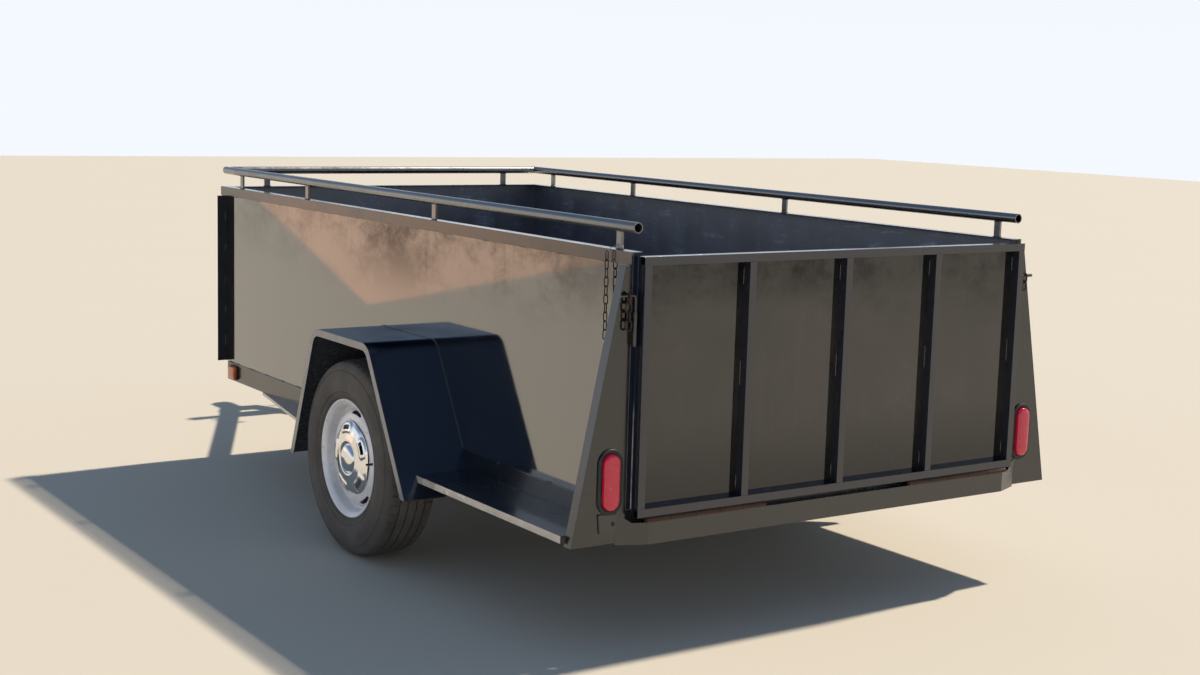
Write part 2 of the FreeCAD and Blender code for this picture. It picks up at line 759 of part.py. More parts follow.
def slotTool(width, depth, radius, x0, x1, turn):
    """Round-ended bar that cuts a slot along the wheel's round, at a radius and a turn from the top."""
    end = depth / 2.0
    reach = width / 2.0 - end
    height = tyreRadius + radius
    parts = [rod(end, (x0, wheelPlace + side * reach, height), (x1, wheelPlace + side * reach, height))
             for side in (-1, 1)]
    parts.append(block(x0, x1, wheelPlace - reach, wheelPlace + reach, height - end, height + end))
    tool = fused(parts)
    tool.rotate(Vec(0, wheelPlace, tyreRadius), Vec(1, 0, 0), turn)
    return tool


def rim():
    """Pressed rim: flanges, drop centre, and a dished disc with hand holes near the barrel."""
    half = rimWidth / 2.0
    seat = rimRadius - flangeHeight
    t = rimSteel
    foot = flangeFoot - 2.0
    well = [(-wellInner - wellSlope, seat), (-wellInner, wellRadius), (wellOuter, wellRadius),
            (wellOuter + wellSlope, seat)]
    bore = [(-half, rimRadius - t), (-half + foot, seat - t)] + [(x, r - t) for x, r in well]
    bore += [(half - foot, seat - t), (half, rimRadius - t)]
    outside = [(half, rimRadius), (half - flangeLip, rimRadius), (half - flangeFoot, seat)]
    outside += well[::-1] + [(flangeFoot - half, seat), (flangeLip - half, rimRadius), (-half, rimRadius)]
    barrel = bore + outside
    steel = discSteel
    crown = discFace + 22.0
    edge = wellRadius - t + 0.3
    disc = [(discFace, discBore), (discFace, 0.56 * wellRadius), (crown, 0.72 * wellRadius),
            (crown, 0.85 * wellRadius), (discFace, edge), (discFace + steel, edge),
            (crown + steel, 0.87 * wellRadius), (crown + steel, 0.7 * wellRadius),
            (discFace + steel, 0.53 * wellRadius), (discFace + steel, discBore)]
    wheel = fused([revolveX(barrel, wheelCentre), revolveX(disc, wheelCentre)])
    for i in range(holeCount):
        wheel = wheel.cut(slotTool(handHoleWidth, handHoleDepth, handHoleRadius, wheelCentre + discFace - steel,
                                   wheelCentre + crown + 2.0 * steel, 360.0 * (i + 0.5) / holeCount))
    for i in range(studCount):
        angle = 2.0 * math.pi * i / studCount
        y = wheelPlace + studCircle * math.sin(angle)
        z = tyreRadius + studCircle * math.cos(angle)
        wheel = wheel.cut(rod(studRadius + 0.5, (wheelCentre + discFace - 2.0, y, z),
                              (wheelCentre + discFace + steel + 2.0, y, z)))
    return wheel.cut(rod(discBore, (wheelCentre, wheelPlace, tyreRadius),
                         (wheelCentre + crown, wheelPlace, tyreRadius)))


def hubCap():
    """Chrome centre cap: dished skirt with oval openings round a domed middle."""
    face = discFace + 5.3
    t = 1.5
    skirt, crown, groove, rise = face + 22.0, face + 36.0, face + 24.0, face + 57.0
    section = [(skirt, capRadius), (skirt + 8.0, capRadius - 4.0), (crown, 0.7 * capRadius),
               (crown - 6.0, capDomeRadius + 10.0), (groove, capDomeRadius + 2.0),
               (groove + 20.0, capDomeRadius - 6.0), (rise - 3.0, capDomeRadius / 2.0), (rise, 0.0),
               (rise - t, 0.0), (rise - 3.0 - t, capDomeRadius / 2.0 - 1.0),
               (groove + 20.0 - t, capDomeRadius - 8.0), (groove - 2 * t, capDomeRadius + 1.0),
               (crown - 6.0 - t, capDomeRadius + 12.0), (crown - t, 0.7 * capRadius),
               (skirt + 8.0 - t, capRadius - 7.0), (skirt, capRadius - 3.0)]
    cap = revolveX(section, wheelCentre)
    for i in range(holeCount):
        cap = cap.cut(slotTool(capHoleWidth, capHoleDepth, capHolePlace, wheelCentre + face, wheelCentre + rise,
                               360.0 * i / holeCount))
    return cap


def hub():
    """Hub barrel bored for the spindle, flange behind the disc and wheel studs with nuts."""
    face = wheelCentre + discFace - 0.3
    bore = spindleRadius + hubRunning
    inner = dropPlateInner + dropPlate + 10.0
    section = [(inner, bore), (inner, 38.0), (face - 12.0, 38.0), (face - 12.0, 88.0), (face, 88.0),
               (face, 38.0), (face + 20.0, 34.0), (face + 38.0, 30.0), (face + 46.0, 0.0),
               (spindleEnd + 2.0, 0.0), (spindleEnd + 2.0, bore)]
    body = revolveX(section, 0.0)
    studs = []
    for i in range(studCount):
        angle = 2.0 * math.pi * i / studCount
        y = wheelPlace + studCircle * math.sin(angle)
        z = tyreRadius + studCircle * math.cos(angle)
        studs.append(rod(studRadius, (face - 2.0, y, z), (face + 24.0, y, z)))
    return fused([body] + studs)


def tongueTube():
    """Rectangular tube from the frame's front corner towards the coupler, cut square to the trailer."""
    start = (tongueRootHalf, frameFront)
    end = (tongueTipHalf, tongueFront)
    run = math.hypot(end[0] - start[0], end[1] - start[1])
    across = tongueWidth / 2.0 * run / tongueLength
    hollow = (tongueWidth / 2.0 - tongueWall) * run / tongueLength

    def tube(half, low, high):
        return extrudeZ([(start[0] - half, start[1]), (start[0] + half, start[1]),
                         (end[0] + half, end[1]), (end[0] - half, end[1])], low, high)
    return tube(across, railBottom, railTop).cut(tube(hollow, railBottom + tongueWall, railTop - tongueWall))


def coupler():
    """A-frame plate on the tubes, hollow nose and the ball socket, open below."""
    half = tongueWidth / 2.0
    back = tongueFront - couplerBack
    slope = (tongueRootHalf - tongueTipHalf) / tongueLength
    wideBack = tongueTipHalf + couplerBack * slope + half + 6.0
    wideFront = tongueTipHalf + half
    plate = extrudeZ([(-wideBack, back), (wideBack, back), (wideFront, tongueFront + 6.0),
                      (-wideFront, tongueFront + 6.0)], railTop, railTop + couplerSteel)
    noseHalf = couplerWidth / 2.0
    noseTop = railTop + couplerHeight
    body = block(-noseHalf, noseHalf, tongueFront - 40.0, ballPlace, railTop, noseTop)
    hollow = block(-noseHalf + couplerSteel, noseHalf - couplerSteel, tongueFront - 40.0 + couplerSteel,
                   ballPlace, railTop - 1.0, noseTop - couplerSteel)
    ballHeight = noseTop - couplerSteel - ballRadius + 6.0
    outerRadius = ballRadius + socketRunning + socketWall
    dome = Part.makeSphere(outerRadius, Vec(0, ballPlace, ballHeight), Vec(0, 0, 1), 0, 90, 360)
    skirt = rod(outerRadius, (0, ballPlace, railTop), (0, ballPlace, ballHeight))
    socket = Part.makeSphere(ballRadius + socketRunning, Vec(0, ballPlace, ballHeight))
    throat = rod(ballRadius + socketRunning, (0, ballPlace, railTop - 1.0), (0, ballPlace, ballHeight))
    shell = fused([plate, body.cut(hollow), dome, skirt])
    return shell.cut(socket).cut(throat)


def couplerLatch():
    noseTop = railTop + couplerHeight
    lever = block(-14.0, 14.0, tongueFront - 20.0, tongueFront + 70.0, noseTop, noseTop + 6.0)
    outline = [(tongueFront - 20.0, noseTop + 6.0), (tongueFront + 4.0, noseTop + 6.0),
               (tongueFront - 36.0, noseTop + 34.0), (tongueFront - 44.0, noseTop + 30.0)]
    return fused([lever, extrudeX(outline, -14.0, 14.0)])


def jackTube():
    """Outer tube, its mounting plate across the tongue tubes and the gear head on top."""
    slope = (tongueRootHalf - tongueTipHalf) / tongueLength
    plateHalf = 60.0
    reach = tongueTipHalf + jackSetback * slope
    wide, narrow = reach + plateHalf * slope, reach - plateHalf * slope
    back, front = jackPlace - plateHalf, jackPlace + plateHalf
    plate = extrudeZ([(-wide, back), (wide, back), (narrow, front), (-narrow, front)], railTop, railTop + 8.0)
    tube = rod(jackRadius, (0, jackPlace, jackBottom), (0, jackPlace, jackTop))
    head = rod(jackRadius + 4.0, (0, jackPlace, jackTop - 60.0), (0, jackPlace, jackTop))
    shell = fused([plate, tube, head])
    return shell.cut(rod(jackRadius - jackWall, (0, jackPlace, jackBottom - 1.0),
                         (0, jackPlace, jackTop - 5.0)))


def jackCrank():
    z = jackTop - 30.0
    side = jackRadius + 4.0
    arm, end = jackPlace - crankReach, side + crankArm
    handle = bentRod(crankRadius, [(side, jackPlace, z), (end, jackPlace, z), (end, arm, z),
                                   (end + 95.0, arm, z)], 2.5 * crankRadius)
    grip = rod(11.0, (end + 25.0, arm, z), (end + 98.0, arm, z))
    return fused([handle, grip])


def jackLeg():
    """Inner leg with its round foot on the ground."""
    leg = pipe(legRadius, legWall, (0, jackPlace, footSteel), (0, jackPlace, legTop))
    foot = rod(footRadius, (0, jackPlace, 0), (0, jackPlace, footSteel))
    collar = rod(legRadius + 6.0, (0, jackPlace, footSteel), (0, jackPlace, footSteel + 14.0))
    return fused([foot, collar.cut(rod(legRadius - legWall, (0, jackPlace, 0), (0, jackPlace, 40.0))), leg])


def linkLoop(length, width, x):
    """Outline of a link lying in the plane of x, its ends flat across the next link's bar."""
    r = width / 2.0
    straight = length / 2.0 - r * math.cos(math.pi / 6.0)
    points = []
    for centre, start in ((straight, 0.0), (-straight, math.pi)):
        for i in range(4):
            angle = start + math.pi * i / 3.0
            points.append((x, r * math.cos(angle), centre + r * math.sin(angle)))
    return points


def chainLink(place, turned):
    outer = linkLoop(linkInnerLength + 2 * linkRod, linkInnerWidth + 2 * linkRod, -linkRod / 2.0)
    inner = linkLoop(linkInnerLength, linkInnerWidth, -linkRod / 2.0)
    link = polygon(outer).extrude(Vec(linkRod, 0, 0)).cut(polygon(inner).extrude(Vec(linkRod, 0, 0)))
    if turned:
        link.rotate(Vec(0, 0, 0), Vec(0, 0, 1), 90)
    link.translate(Vec(*place))
    return link


def hangingChain(x, y, top, count):
    pitch = linkInnerLength - linkSlack
    first = top - linkInnerLength / 2.0 - linkRod
    return [chainLink((x, y, first - i * pitch), i % 2 == 1) for i in range(count)]


def latchRod():
    """Bent pin beside the gate, its handle over the fin, in two barrels welded to the fin's edge."""
    x = gateHalf + barrelClear + latchRadius + latchSlack + latchWall
    y = -latchStand - latchRadius
    outer = latchRadius + latchSlack + latchWall
    shapes = [bentRod(latchRadius, [(latchReach, y, latchHeight), (x, y, latchHeight),
                                    (x, y, latchHeight - latchDrop)], latchBend)]
    for high, low in barrelPlaces:
        barrel = rod(outer, (x, y, latchHeight + low), (x, y, latchHeight + high))
        foot = block(x - outer / 2.0, x + outer, y, 0, latchHeight + low, latchHeight + high)
        bore = rod(outer - latchWall, (x, y, latchHeight + low), (x, y, latchHeight + high))
        shapes.append(fused([barrel, foot]).cut(bore))
    return shapes


def safetyChains():
    links = []
    for side in (-1, 1):
        links += hangingChain(side * 70.0, tongueFront - 60.0, railBottom - seatSlack, 6)
    return Part.makeCompound(links)


def latchChains():
    """Long chain down the left side from the rear post, short ones hanging on the latch rods."""
    outside = halfBody + topRailSteel + seatSlack + linkInnerWidth / 2.0 + linkRod
    links = hangingChain(-outside, longChainPlace, sideTop, 10)
    eyeTop = latchHeight + latchRadius + seatSlack + linkRod
    for side, count in ((-1, 4), (1, 2)):
        links += hangingChain(side * latchChainPlace, -latchStand - latchRadius, eyeTop, count)
    return Part.makeCompound(links)


def build():
    pieces = {}
    for name, shape in (("frame_rail", frameRail()), ("side_wall", sideWall()), ("top_rail", topRailSide()),
                        ("tie_pipe", tiePipeSide()), ("rear_fin", rearFin()), ("fender", fender()),
                        ("running_board", runningBoard()), ("tongue_tube", tongueTube()), ("tyre", tyre()),
                        ("rim", rim()), ("hub", hub()), ("hub_cap", hubCap()), ("leaf_spring", springPack())):
        pieces[name + "_right"] = shape
        pieces[name + "_left"] = mirrored(shape)
    for name, shape in (("corner_angles", cornerAngle()), ("light_grommets", lightGrommet()),
                        ("tail_lights", tailLight()), ("side_wedges", sideWedge()),
                        ("side_markers", sideMarker()), ("spring_shackles", shackles()),
                        ("axle_spindles", axleSpindle())):
        pieces[name] = bothSides(shape)
    pieces["spring_hangers"] = Part.makeCompound([s for h in springHangers() for s in (h, mirrored(h))])
    pieces["axle_clamps"] = Part.makeCompound([s for c in axleClamp() for s in (c, mirrored(c))])
    pieces["front_beam"] = frontBeam()
    pieces["rear_beam"] = rearBeam()
    pieces["cross_members"] = crossMembers()
    pieces["floor_plate"] = floorPlate()
    pieces["front_wall"] = frontWall()
    pieces["top_rail_front"] = topRailFront()
    pieces["tie_pipe_front"] = tiePipeFront()
    pieces["tie_posts"] = tiePosts()
    pieces["axle_beam"] = axleBeam()
    pieces["gate_bars"] = gateBars()
    pieces["gate_ribs"] = gateRibs()
    pieces["gate_panel"] = gatePanel()
    pieces["beam_hinges"] = Part.makeCompound([beamHinge(-1), beamHinge(1)])
    pieces["gate_hinges"] = Part.makeCompound([gateHinge(-1), gateHinge(1)])
    pieces["coupler"] = coupler()
    pieces["coupler_latch"] = couplerLatch()
    pieces["jack_tube"] = jackTube()
    pieces["jack_crank"] = jackCrank()
    pieces["jack_leg"] = jackLeg()
    pieces["latch_rods"] = Part.makeCompound([s for r in latchRod() for s in (r, mirrored(r))])
    pieces["latch_chains"] = latchChains()
    pieces["safety_chains"] = safetyChains()
    return pieces


os.makedirs("parts", exist_ok=True)
for name, shape in build().items():
    shape.translate(Vec(0, -middleY, 0))
    shape.exportStep("parts/" + name + ".step")
    print(name, len(shape.Solids), round(shape.Volume / 1e6, 3), shape.isValid())
print("origin shift", round(middleY, 3), "hinge", round(gateFace - middleY, 2), hingeHeight,
      "wheel", round(wheelPlace - middleY, 2), "jack", round(jackPlace - middleY, 2),
      "ball", round(ballPlace - middleY, 2))
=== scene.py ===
import math
import random

import bmesh
import bpy
from mathutils import Matrix, Vector


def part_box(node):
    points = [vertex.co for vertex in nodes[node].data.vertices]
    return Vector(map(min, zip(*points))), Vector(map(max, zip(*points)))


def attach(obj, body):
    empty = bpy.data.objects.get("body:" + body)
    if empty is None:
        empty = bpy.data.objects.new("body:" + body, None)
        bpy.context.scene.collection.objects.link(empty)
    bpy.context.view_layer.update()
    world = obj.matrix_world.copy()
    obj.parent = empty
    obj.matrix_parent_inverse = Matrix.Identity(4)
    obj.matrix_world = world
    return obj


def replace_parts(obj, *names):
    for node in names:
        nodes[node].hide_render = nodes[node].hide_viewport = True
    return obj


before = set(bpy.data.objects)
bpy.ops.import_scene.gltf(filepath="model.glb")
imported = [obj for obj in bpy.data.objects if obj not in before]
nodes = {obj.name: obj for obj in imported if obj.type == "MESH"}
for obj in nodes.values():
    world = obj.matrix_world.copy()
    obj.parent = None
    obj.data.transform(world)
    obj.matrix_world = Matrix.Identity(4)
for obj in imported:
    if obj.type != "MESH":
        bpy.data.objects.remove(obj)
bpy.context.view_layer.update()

# A black steel-sided utility trailer. Metres, +X to its right, +Y to the hitch, +Z up.


def middleOf(node):
    low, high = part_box(node)
    return (low + high) / 2


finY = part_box("rear_fin_left")[0].y
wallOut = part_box("side_wall_right")[1].x
railFace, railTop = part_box("frame_rail_right")[1].xz
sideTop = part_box("top_rail_right")[1].z
wheelMiddle = middleOf("tyre_right")


# Shader maths: a Wire is one socket, a Finish is one material

class Wire:
    def __init__(self, finish, socket):
        self.finish = finish
        self.socket = socket

    def maths(self, operation, a, b):
        return self.finish.node("ShaderNodeMath", {"operation": operation}, {0: a, 1: b})

    def __add__(self, other):
        return self.maths("ADD", self, other)

    def __radd__(self, other):
        return self.maths("ADD", other, self)

    def __sub__(self, other):
        return self.maths("SUBTRACT", self, other)

    def __rsub__(self, other):
        return self.maths("SUBTRACT", other, self)

    def __mul__(self, other):
        return self.maths("MULTIPLY", self, other)

    def __rmul__(self, other):
        return self.maths("MULTIPLY", other, self)

    def __abs__(self):
        return self.maths("ABSOLUTE", self, 0.0)

    def most(self, other):
        return self.maths("MAXIMUM", self, other)


class Finish:
    def __init__(self, name, world=None):
        self.material = world or bpy.data.materials.new(name)
        self.material.use_nodes = True
        self.tree = self.material.node_tree
        self.shader = self.tree.nodes["Background" if world else "Principled BSDF"]
        self.place = None

    def node(self, kind, settings, sockets, out=0):
        made = self.tree.nodes.new(kind)
        for key, value in settings.items():
            setattr(made, key, value)
        for key, value in sockets.items():
            if isinstance(value, Wire):
                self.tree.links.new(value.socket, made.inputs[key])
            elif value is not None:
                made.inputs[key].default_value = value
        return Wire(self, made.outputs[out])

    def point(self):
        if self.place is None:
            self.place = self.node("ShaderNodeTexCoord", {}, {}, "Object")
        return self.place

    def vectors(self, operation, sockets, out=0):
        return self.node("ShaderNodeVectorMath", {"operation": operation}, sockets, out)

    def scaled(self, across, shift=(0.0, 0.0, 0.0)):
        return self.vectors("MULTIPLY_ADD", {0: self.point(), 1: across, 2: shift})

    def axis(self, letter, vector=None):
        return self.node("ShaderNodeSeparateXYZ", {}, {0: vector or self.point()}, letter)

    def facing(self):
        return self.node("ShaderNodeNewGeometry", {}, {}, "Normal")

    def clouds(self, scale, detail, rough, across=(1.0, 1.0, 1.0), shift=(0.0, 0.0, 0.0)):
        sockets = {"Vector": self.scaled(across, shift), "Scale": scale, "Detail": detail, "Roughness": rough}
        return self.node("ShaderNodeTexNoise", {}, sockets)

    def blots(self, low, high, scale, detail, rough, **where):
        return self.step(self.clouds(scale, detail, rough, **where), low, high)

    def step(self, value, low, high, least=0.0, most=1.0):
        settings = {"interpolation_type": "SMOOTHSTEP"}
        return self.node("ShaderNodeMapRange", settings, {0: value, 1: low, 2: high, 3: least, 4: most})

    def mix(self, share, a, b):
        a, b = (colour if isinstance(colour, Wire) else (*colour, 1.0) for colour in (a, b))
        return self.node("ShaderNodeMix", {"data_type": "RGBA"}, {0: share, 6: a, 7: b}, 2)

    def coats(self, colour, *layers):
        # layers of (share, colour) laid over a first colour
        for share, other in layers:
            colour = self.mix(share, colour, other)
        return colour

    def rounded(self, radius):
        return self.node("ShaderNodeBevel", {"samples": 4}, {"Radius": radius})

    def edges(self, radius):
        match = self.vectors("DOT_PRODUCT", {0: self.rounded(radius), 1: self.facing()}, 1)
        return self.step(1.0 - match, 0.02, 0.25)

    def bump(self, height, distance, strength=1.0, under=None):
        sockets = {"Height": height, "Distance": distance, "Strength": strength, "Normal": under}
        return self.node("ShaderNodeBump", {}, sockets)

    def set(self, **sockets):
        for key, value in sockets.items():
            socket = self.shader.inputs[key.replace("_", " ")]
            if isinstance(value, Wire):
                self.tree.links.new(value.socket, socket)
            else:
                socket.default_value = value
        return self.material


# Finishes

tone = {
    "black": (0.0055, 0.006, 0.0075),
    # painted shade and reflection: a navy black standing for blue sky mirrored on shaded black paint
    "paintedSkyBlue": (0.009, 0.013, 0.024),
    "dust": (0.135, 0.11, 0.085),
    "paleDust": (0.3, 0.28, 0.25),
    "rust": (0.105, 0.036, 0.014),
    "darkRust": (0.038, 0.016, 0.009),
}


def blackPaint(name, dust=0.35, streaks=0.0, rust=0.25, wave=0.0, gloss=0.13, shine=(1.7, 0.5), coat=0.3,
               low=None, linedWithShadedTop=False, edge=None, base="black", bevel=0.0012):
    paint = Finish(name)
    patches = paint.blots(0.42, 0.72, 2.3, 5, 0.6)
    film = paint.blots(0.35, 0.75, 9, 8, 0.68, shift=(3.1, 0.7, 1.9))
    specks = paint.blots(0.68, 0.76, 330, 2, 0.5) * patches
    veil = patches * 0.55 + film * 0.45
    if streaks:
        runs = paint.blots(0.48, 0.78, 1, 6, 0.6, across=(42, 42, 1.4))
        veil = veil + runs * streaks
    if low is not None:
        veil = veil + paint.step(paint.axis("Z"), low + 0.16, low - 0.02) * film * 0.9
    worn = paint.edges(0.0025) * paint.blots(0.5, 0.62, 26, 6, 0.7, shift=(5, 2, 8))
    worn = worn * min(1.0, rust * 2.0)
    spots = paint.blots(0.7, 0.76, 38, 7, 0.72, shift=(1, 6, 3)) * rust
    bare = worn.most(spots)
    rusty = paint.mix(paint.clouds(180, 3, 0.6), tone["darkRust"], tone["rust"])
    colour = paint.coats(tone[base], (veil * (0.1 * dust), tone["dust"]),
                         (specks * dust * 0.4, tone["paleDust"]), (bare, rusty))
    height = paint.clouds(160, 2, 0.5) * 0.04 + bare * 0.8
    rough = gloss + veil * (0.1 + 0.16 * dust) + bare * 0.45
    sheen = coat - bare * coat
    paintedTopShade = 0.0
    if edge:
        # the outermost face, at this distance from the middle, is painted pale: dust, and a painted highlight
        # for the sunlit ground that face mirrors
        rim = paint.step(abs(paint.axis("X")), edge[0] - 0.001, edge[0] - 0.0004) * (0.7 + film * 0.3)
        colour = paint.mix(rim * edge[1], colour, (0.78, 0.66, 0.53))
    if linedWithShadedTop:
        # the arch's side that faces the wheel is sprayed with rough undercoat
        reach = paint.scaled((0.0, 1.0, 1.0), (0.0, -wheelMiddle.y, -wheelMiddle.z))
        facing = paint.facing()
        inside = paint.step(paint.vectors("DOT_PRODUCT", {0: reach, 1: facing}, 1), -0.03, -0.06)
        grit = paint.blots(0.5, 0.64, 120, 5, 0.72)
        colour = paint.mix(inside, colour, paint.mix(grit, (0.014, 0.013, 0.012), (0.115, 0.095, 0.075)))
        height = height + grit * inside * 2.0
        rough = rough + inside * 0.6
        sheen = sheen - inside * coat
        # painted shade: its top is made metallic over the black so it drinks the side plate's low reflection,
        # and the blue specular tint paints a navy sky reflection on the fender
        paintedTopShade = paint.step(paint.axis("Z", facing), 0.55, 0.9) * 0.97
        sheen = sheen - paintedTopShade * coat
        paint.set(Specular_Tint=(0.56, 0.68, 0.86, 1.0))
    normal = paint.bump(height, 0.0004, 0.6, paint.rounded(bevel))
    if wave:
        normal = paint.bump(paint.clouds(1.9, 1, 0.4, shift=(2, 4, 1)), wave, 1, normal)
    return paint.set(Base_Color=colour, Roughness=rough, Metallic=paintedTopShade, Normal=normal, IOR=shine[0],
                     Specular_IOR_Level=shine[1], Coat_Weight=sheen.most(0.0), Coat_Roughness=0.08)


def undercoat():
    paint = Finish("underPaint")
    grit = paint.clouds(210, 5, 0.7)
    flecks = paint.blots(0.62, 0.68, 130, 3, 0.6, shift=(4, 4, 4))
    mud = paint.blots(0.42, 0.7, 7, 8, 0.7)
    colour = paint.coats((0.01, 0.01, 0.011), (mud * 0.75, (0.06, 0.048, 0.036)),
                         (flecks * 0.55, (0.19, 0.16, 0.13)))
    normal = paint.bump(grit, 0.0015, 0.9, paint.rounded(0.002))
    return paint.set(Base_Color=colour, Roughness=0.82 - flecks * 0.1, Normal=normal)


def floorSteel():
    paint = Finish("floorSteel")
    scrape = paint.blots(0.5, 0.7, 1, 7, 0.62, across=(60, 2.2, 20))
    patches = paint.blots(0.42, 0.62, 3.2, 8, 0.66)
    rust = paint.blots(0.55, 0.68, 11, 8, 0.72, shift=(7, 1, 2))
    colour = paint.coats((0.016, 0.018, 0.024), (patches, (0.075, 0.068, 0.06)), (rust * 0.8, tone["rust"]),
                         (scrape * 0.4, (0.23, 0.22, 0.21)))
    normal = paint.bump(paint.clouds(90, 6, 0.7) * 0.5 + rust * 0.4, 0.0009, 0.8)
    rough = 0.42 + rust * 0.35 + patches * 0.12
    return paint.set(Base_Color=colour, Roughness=rough, Metallic=scrape * 0.5, Normal=normal)


def wallPaint(name, inner, letter, streaks, dust=0.045, gloss=0.035, shine=(2.2, 0.6), coat=1.0, wave=0.0,
              dustAndShadeBand=None):
    # gloss outside, scuffed and dusty inside over a navy that is painted bluish shade: the sheet's middle
    # plane parts the two
    paint = Finish(name)
    inside = paint.step(abs(paint.axis(letter)), inner + 0.0006, inner - 0.0006)
    patches = paint.blots(0.38, 0.7, 1.7, 5, 0.62)
    film = paint.blots(0.38, 0.72, 8, 9, 0.7, shift=(3.1, 0.7, 1.9))
    runs = paint.blots(0.5, 0.8, 1, 7, 0.62, across=(34, 34, 1.1))
    grime = paint.blots(0.56, 0.66, 55, 5, 0.75, shift=(9, 3, 5))
    rise = paint.axis("Z")
    low = paint.step(rise, railTop + 0.3, railTop)
    veil = patches * 0.5 + film * 0.5 + runs * streaks + low * film * 0.7
    # dark dulled patches under the top rail, most of them towards the tail, drink the reflection there
    dulledPatch = paint.blots(0.44, 0.66, 1.5, 9, 0.74, across=(1, 1, 1.6), shift=(4, 7, 2))
    dulledPatch = (dulledPatch * 0.62 + runs * 0.18) * paint.step(rise, 0.84, 1.16)
    if letter == "X":
        dulledPatch = dulledPatch * paint.step(paint.axis("Y"), 0.7, -0.7, 0.6, 1.35)
        dulledPatch = dulledPatch * paint.step(paint.axis("Y"), finY + 0.1, finY + 0.7, 0.45, 1.0)
    if dustAndShadeBand:
        # painted shade: the top is dulled, standing for far dark things mirrored there, and it is darker
        # towards the bottom; the film of dust lies thickest half way up
        veil = veil * paint.step(rise, dustAndShadeBand[0], dustAndShadeBand[1]) * paint.step(rise, dustAndShadeBand[3], dustAndShadeBand[2])
        veil = veil + runs * streaks * 0.2
        dulledPatch = dulledPatch.most(paint.step(rise, dustAndShadeBand[2], dustAndShadeBand[3]) * (0.15 + film * 0.5))
        dulledPatch = dulledPatch + paint.step(rise, dustAndShadeBand[1], dustAndShadeBand[0]) * 0.3
    outer = paint.coats(tone["black"], (veil * dust, tone["dust"]),
                        (grime * patches * 0.08, tone["paleDust"]))
    scrapes = paint.blots(0.54, 0.66, 1, 8, 0.66, across=(7, 7, 40), shift=(2, 2, 2))
    chips = paint.blots(0.6, 0.66, 34, 8, 0.74, shift=(7, 5, 1))
    smear = paint.blots(0.38, 0.74, 4, 8, 0.72, across=(1.6, 1.6, 0.8), shift=(6, 1, 9))
    rust = paint.blots(0.57, 0.67, 11, 8, 0.74, shift=(1, 8, 4))
    marks = (scrapes * 0.5).most(chips) * smear
    # inside: the navy under the scuffs is painted bluish shade and sky reflection on the shaded inside
    worn = paint.coats((0.017, 0.024, 0.046), (smear, (0.056, 0.072, 0.118)), (marks, (0.36, 0.38, 0.44)),
                       (rust * 0.7, (0.095, 0.048, 0.04)))
    colour = paint.coats(outer, (inside, worn), (paint.edges(0.002) * grime * 0.7, tone["darkRust"]))
    height = paint.clouds(240, 2, 0.5) * 0.03 + rust * inside * 0.6
    normal = paint.bump(height, 0.0004, 0.7)
    if wave:
        normal = paint.bump(paint.clouds(1.5, 1.5, 0.45, shift=(2, 4, 1)), wave, 1, normal)
    rough = paint.step(inside, 0.0, 1.0, gloss, 0.42) + veil * 0.05 + smear * inside * 0.15
    return paint.set(Base_Color=colour, Roughness=rough, Metallic=dulledPatch - dulledPatch * inside, Normal=normal,
                     IOR=shine[0], Specular_IOR_Level=shine[1],
                     Coat_Weight=(coat - inside * coat) * (1.0 - dulledPatch), Coat_Roughness=0.03)


def rustySteel(name, amount, rough, dark):
    paint = Finish(name)
    scale = paint.clouds(60, 8, 0.72)
    cover = paint.blots(0.62 - 0.3 * amount, 0.66 - 0.2 * amount, 13, 7, 0.7, shift=(2, 3, 4))
    rust = paint.mix(scale, tone["darkRust"], (0.19, 0.07, 0.026))
    colour = paint.coats((0.02, 0.018, 0.018), (cover, rust), (dark, (0.024, 0.017, 0.015)))
    normal = paint.bump(scale * cover, 0.0009, 0.9, paint.rounded(0.0012))
    rough = rough + cover * 0.38
    return paint.set(Base_Color=colour, Roughness=rough, Metallic=0.35 - cover * 0.3, Normal=normal)


def barSteel(name, colour, rough, stain=0.3):
    paint = Finish(name)
    blotch = paint.blots(0.45, 0.7, 16, 7, 0.68)
    fine = paint.clouds(320, 3, 0.6)
    tint = paint.mix(blotch * stain, colour, (0.16, 0.13, 0.1))
    normal = paint.bump(fine * 0.4 + blotch * 0.2, 0.0004, 0.5, paint.rounded(0.001))
    rough = rough + fine * 0.12
    return paint.set(Base_Color=tint, Metallic=0.9 - blotch * 0.35, Roughness=rough, Normal=normal)


def wheelSilver():
    paint = Finish("wheelSilver")
    grime = paint.blots(0.42, 0.72, 14, 8, 0.7)
    brown = paint.blots(0.58, 0.7, 34, 6, 0.72, shift=(3, 5, 1))
    colour = paint.coats((0.86, 0.84, 0.84), (grime * 0.32, (0.5, 0.44, 0.38)),
                         (brown * 0.3, (0.2, 0.14, 0.09)))
    normal = paint.bump(paint.clouds(280, 3, 0.5), 0.0003, 0.4, paint.rounded(0.0015))
    rough = 0.3 + grime * 0.16 + brown * 0.15
    return paint.set(Base_Color=colour, Roughness=rough, Metallic=0.15, Normal=normal)


def chrome():
    paint = Finish("chrome")
    haze = paint.blots(0.45, 0.72, 24, 7, 0.7)
    pits = paint.blots(0.66, 0.72, 240, 3, 0.6)
    colour = paint.coats((0.86, 0.86, 0.86), (haze * 0.35, (0.5, 0.46, 0.4)),
                         (pits * haze, (0.18, 0.12, 0.08)))
    normal = paint.bump(pits * -0.4 + haze * 0.05, 0.0003, 0.5)
    rough = 0.07 + haze * 0.14
    return paint.set(Base_Color=colour, Metallic=1.0 - pits * 0.6, Roughness=rough, Normal=normal)


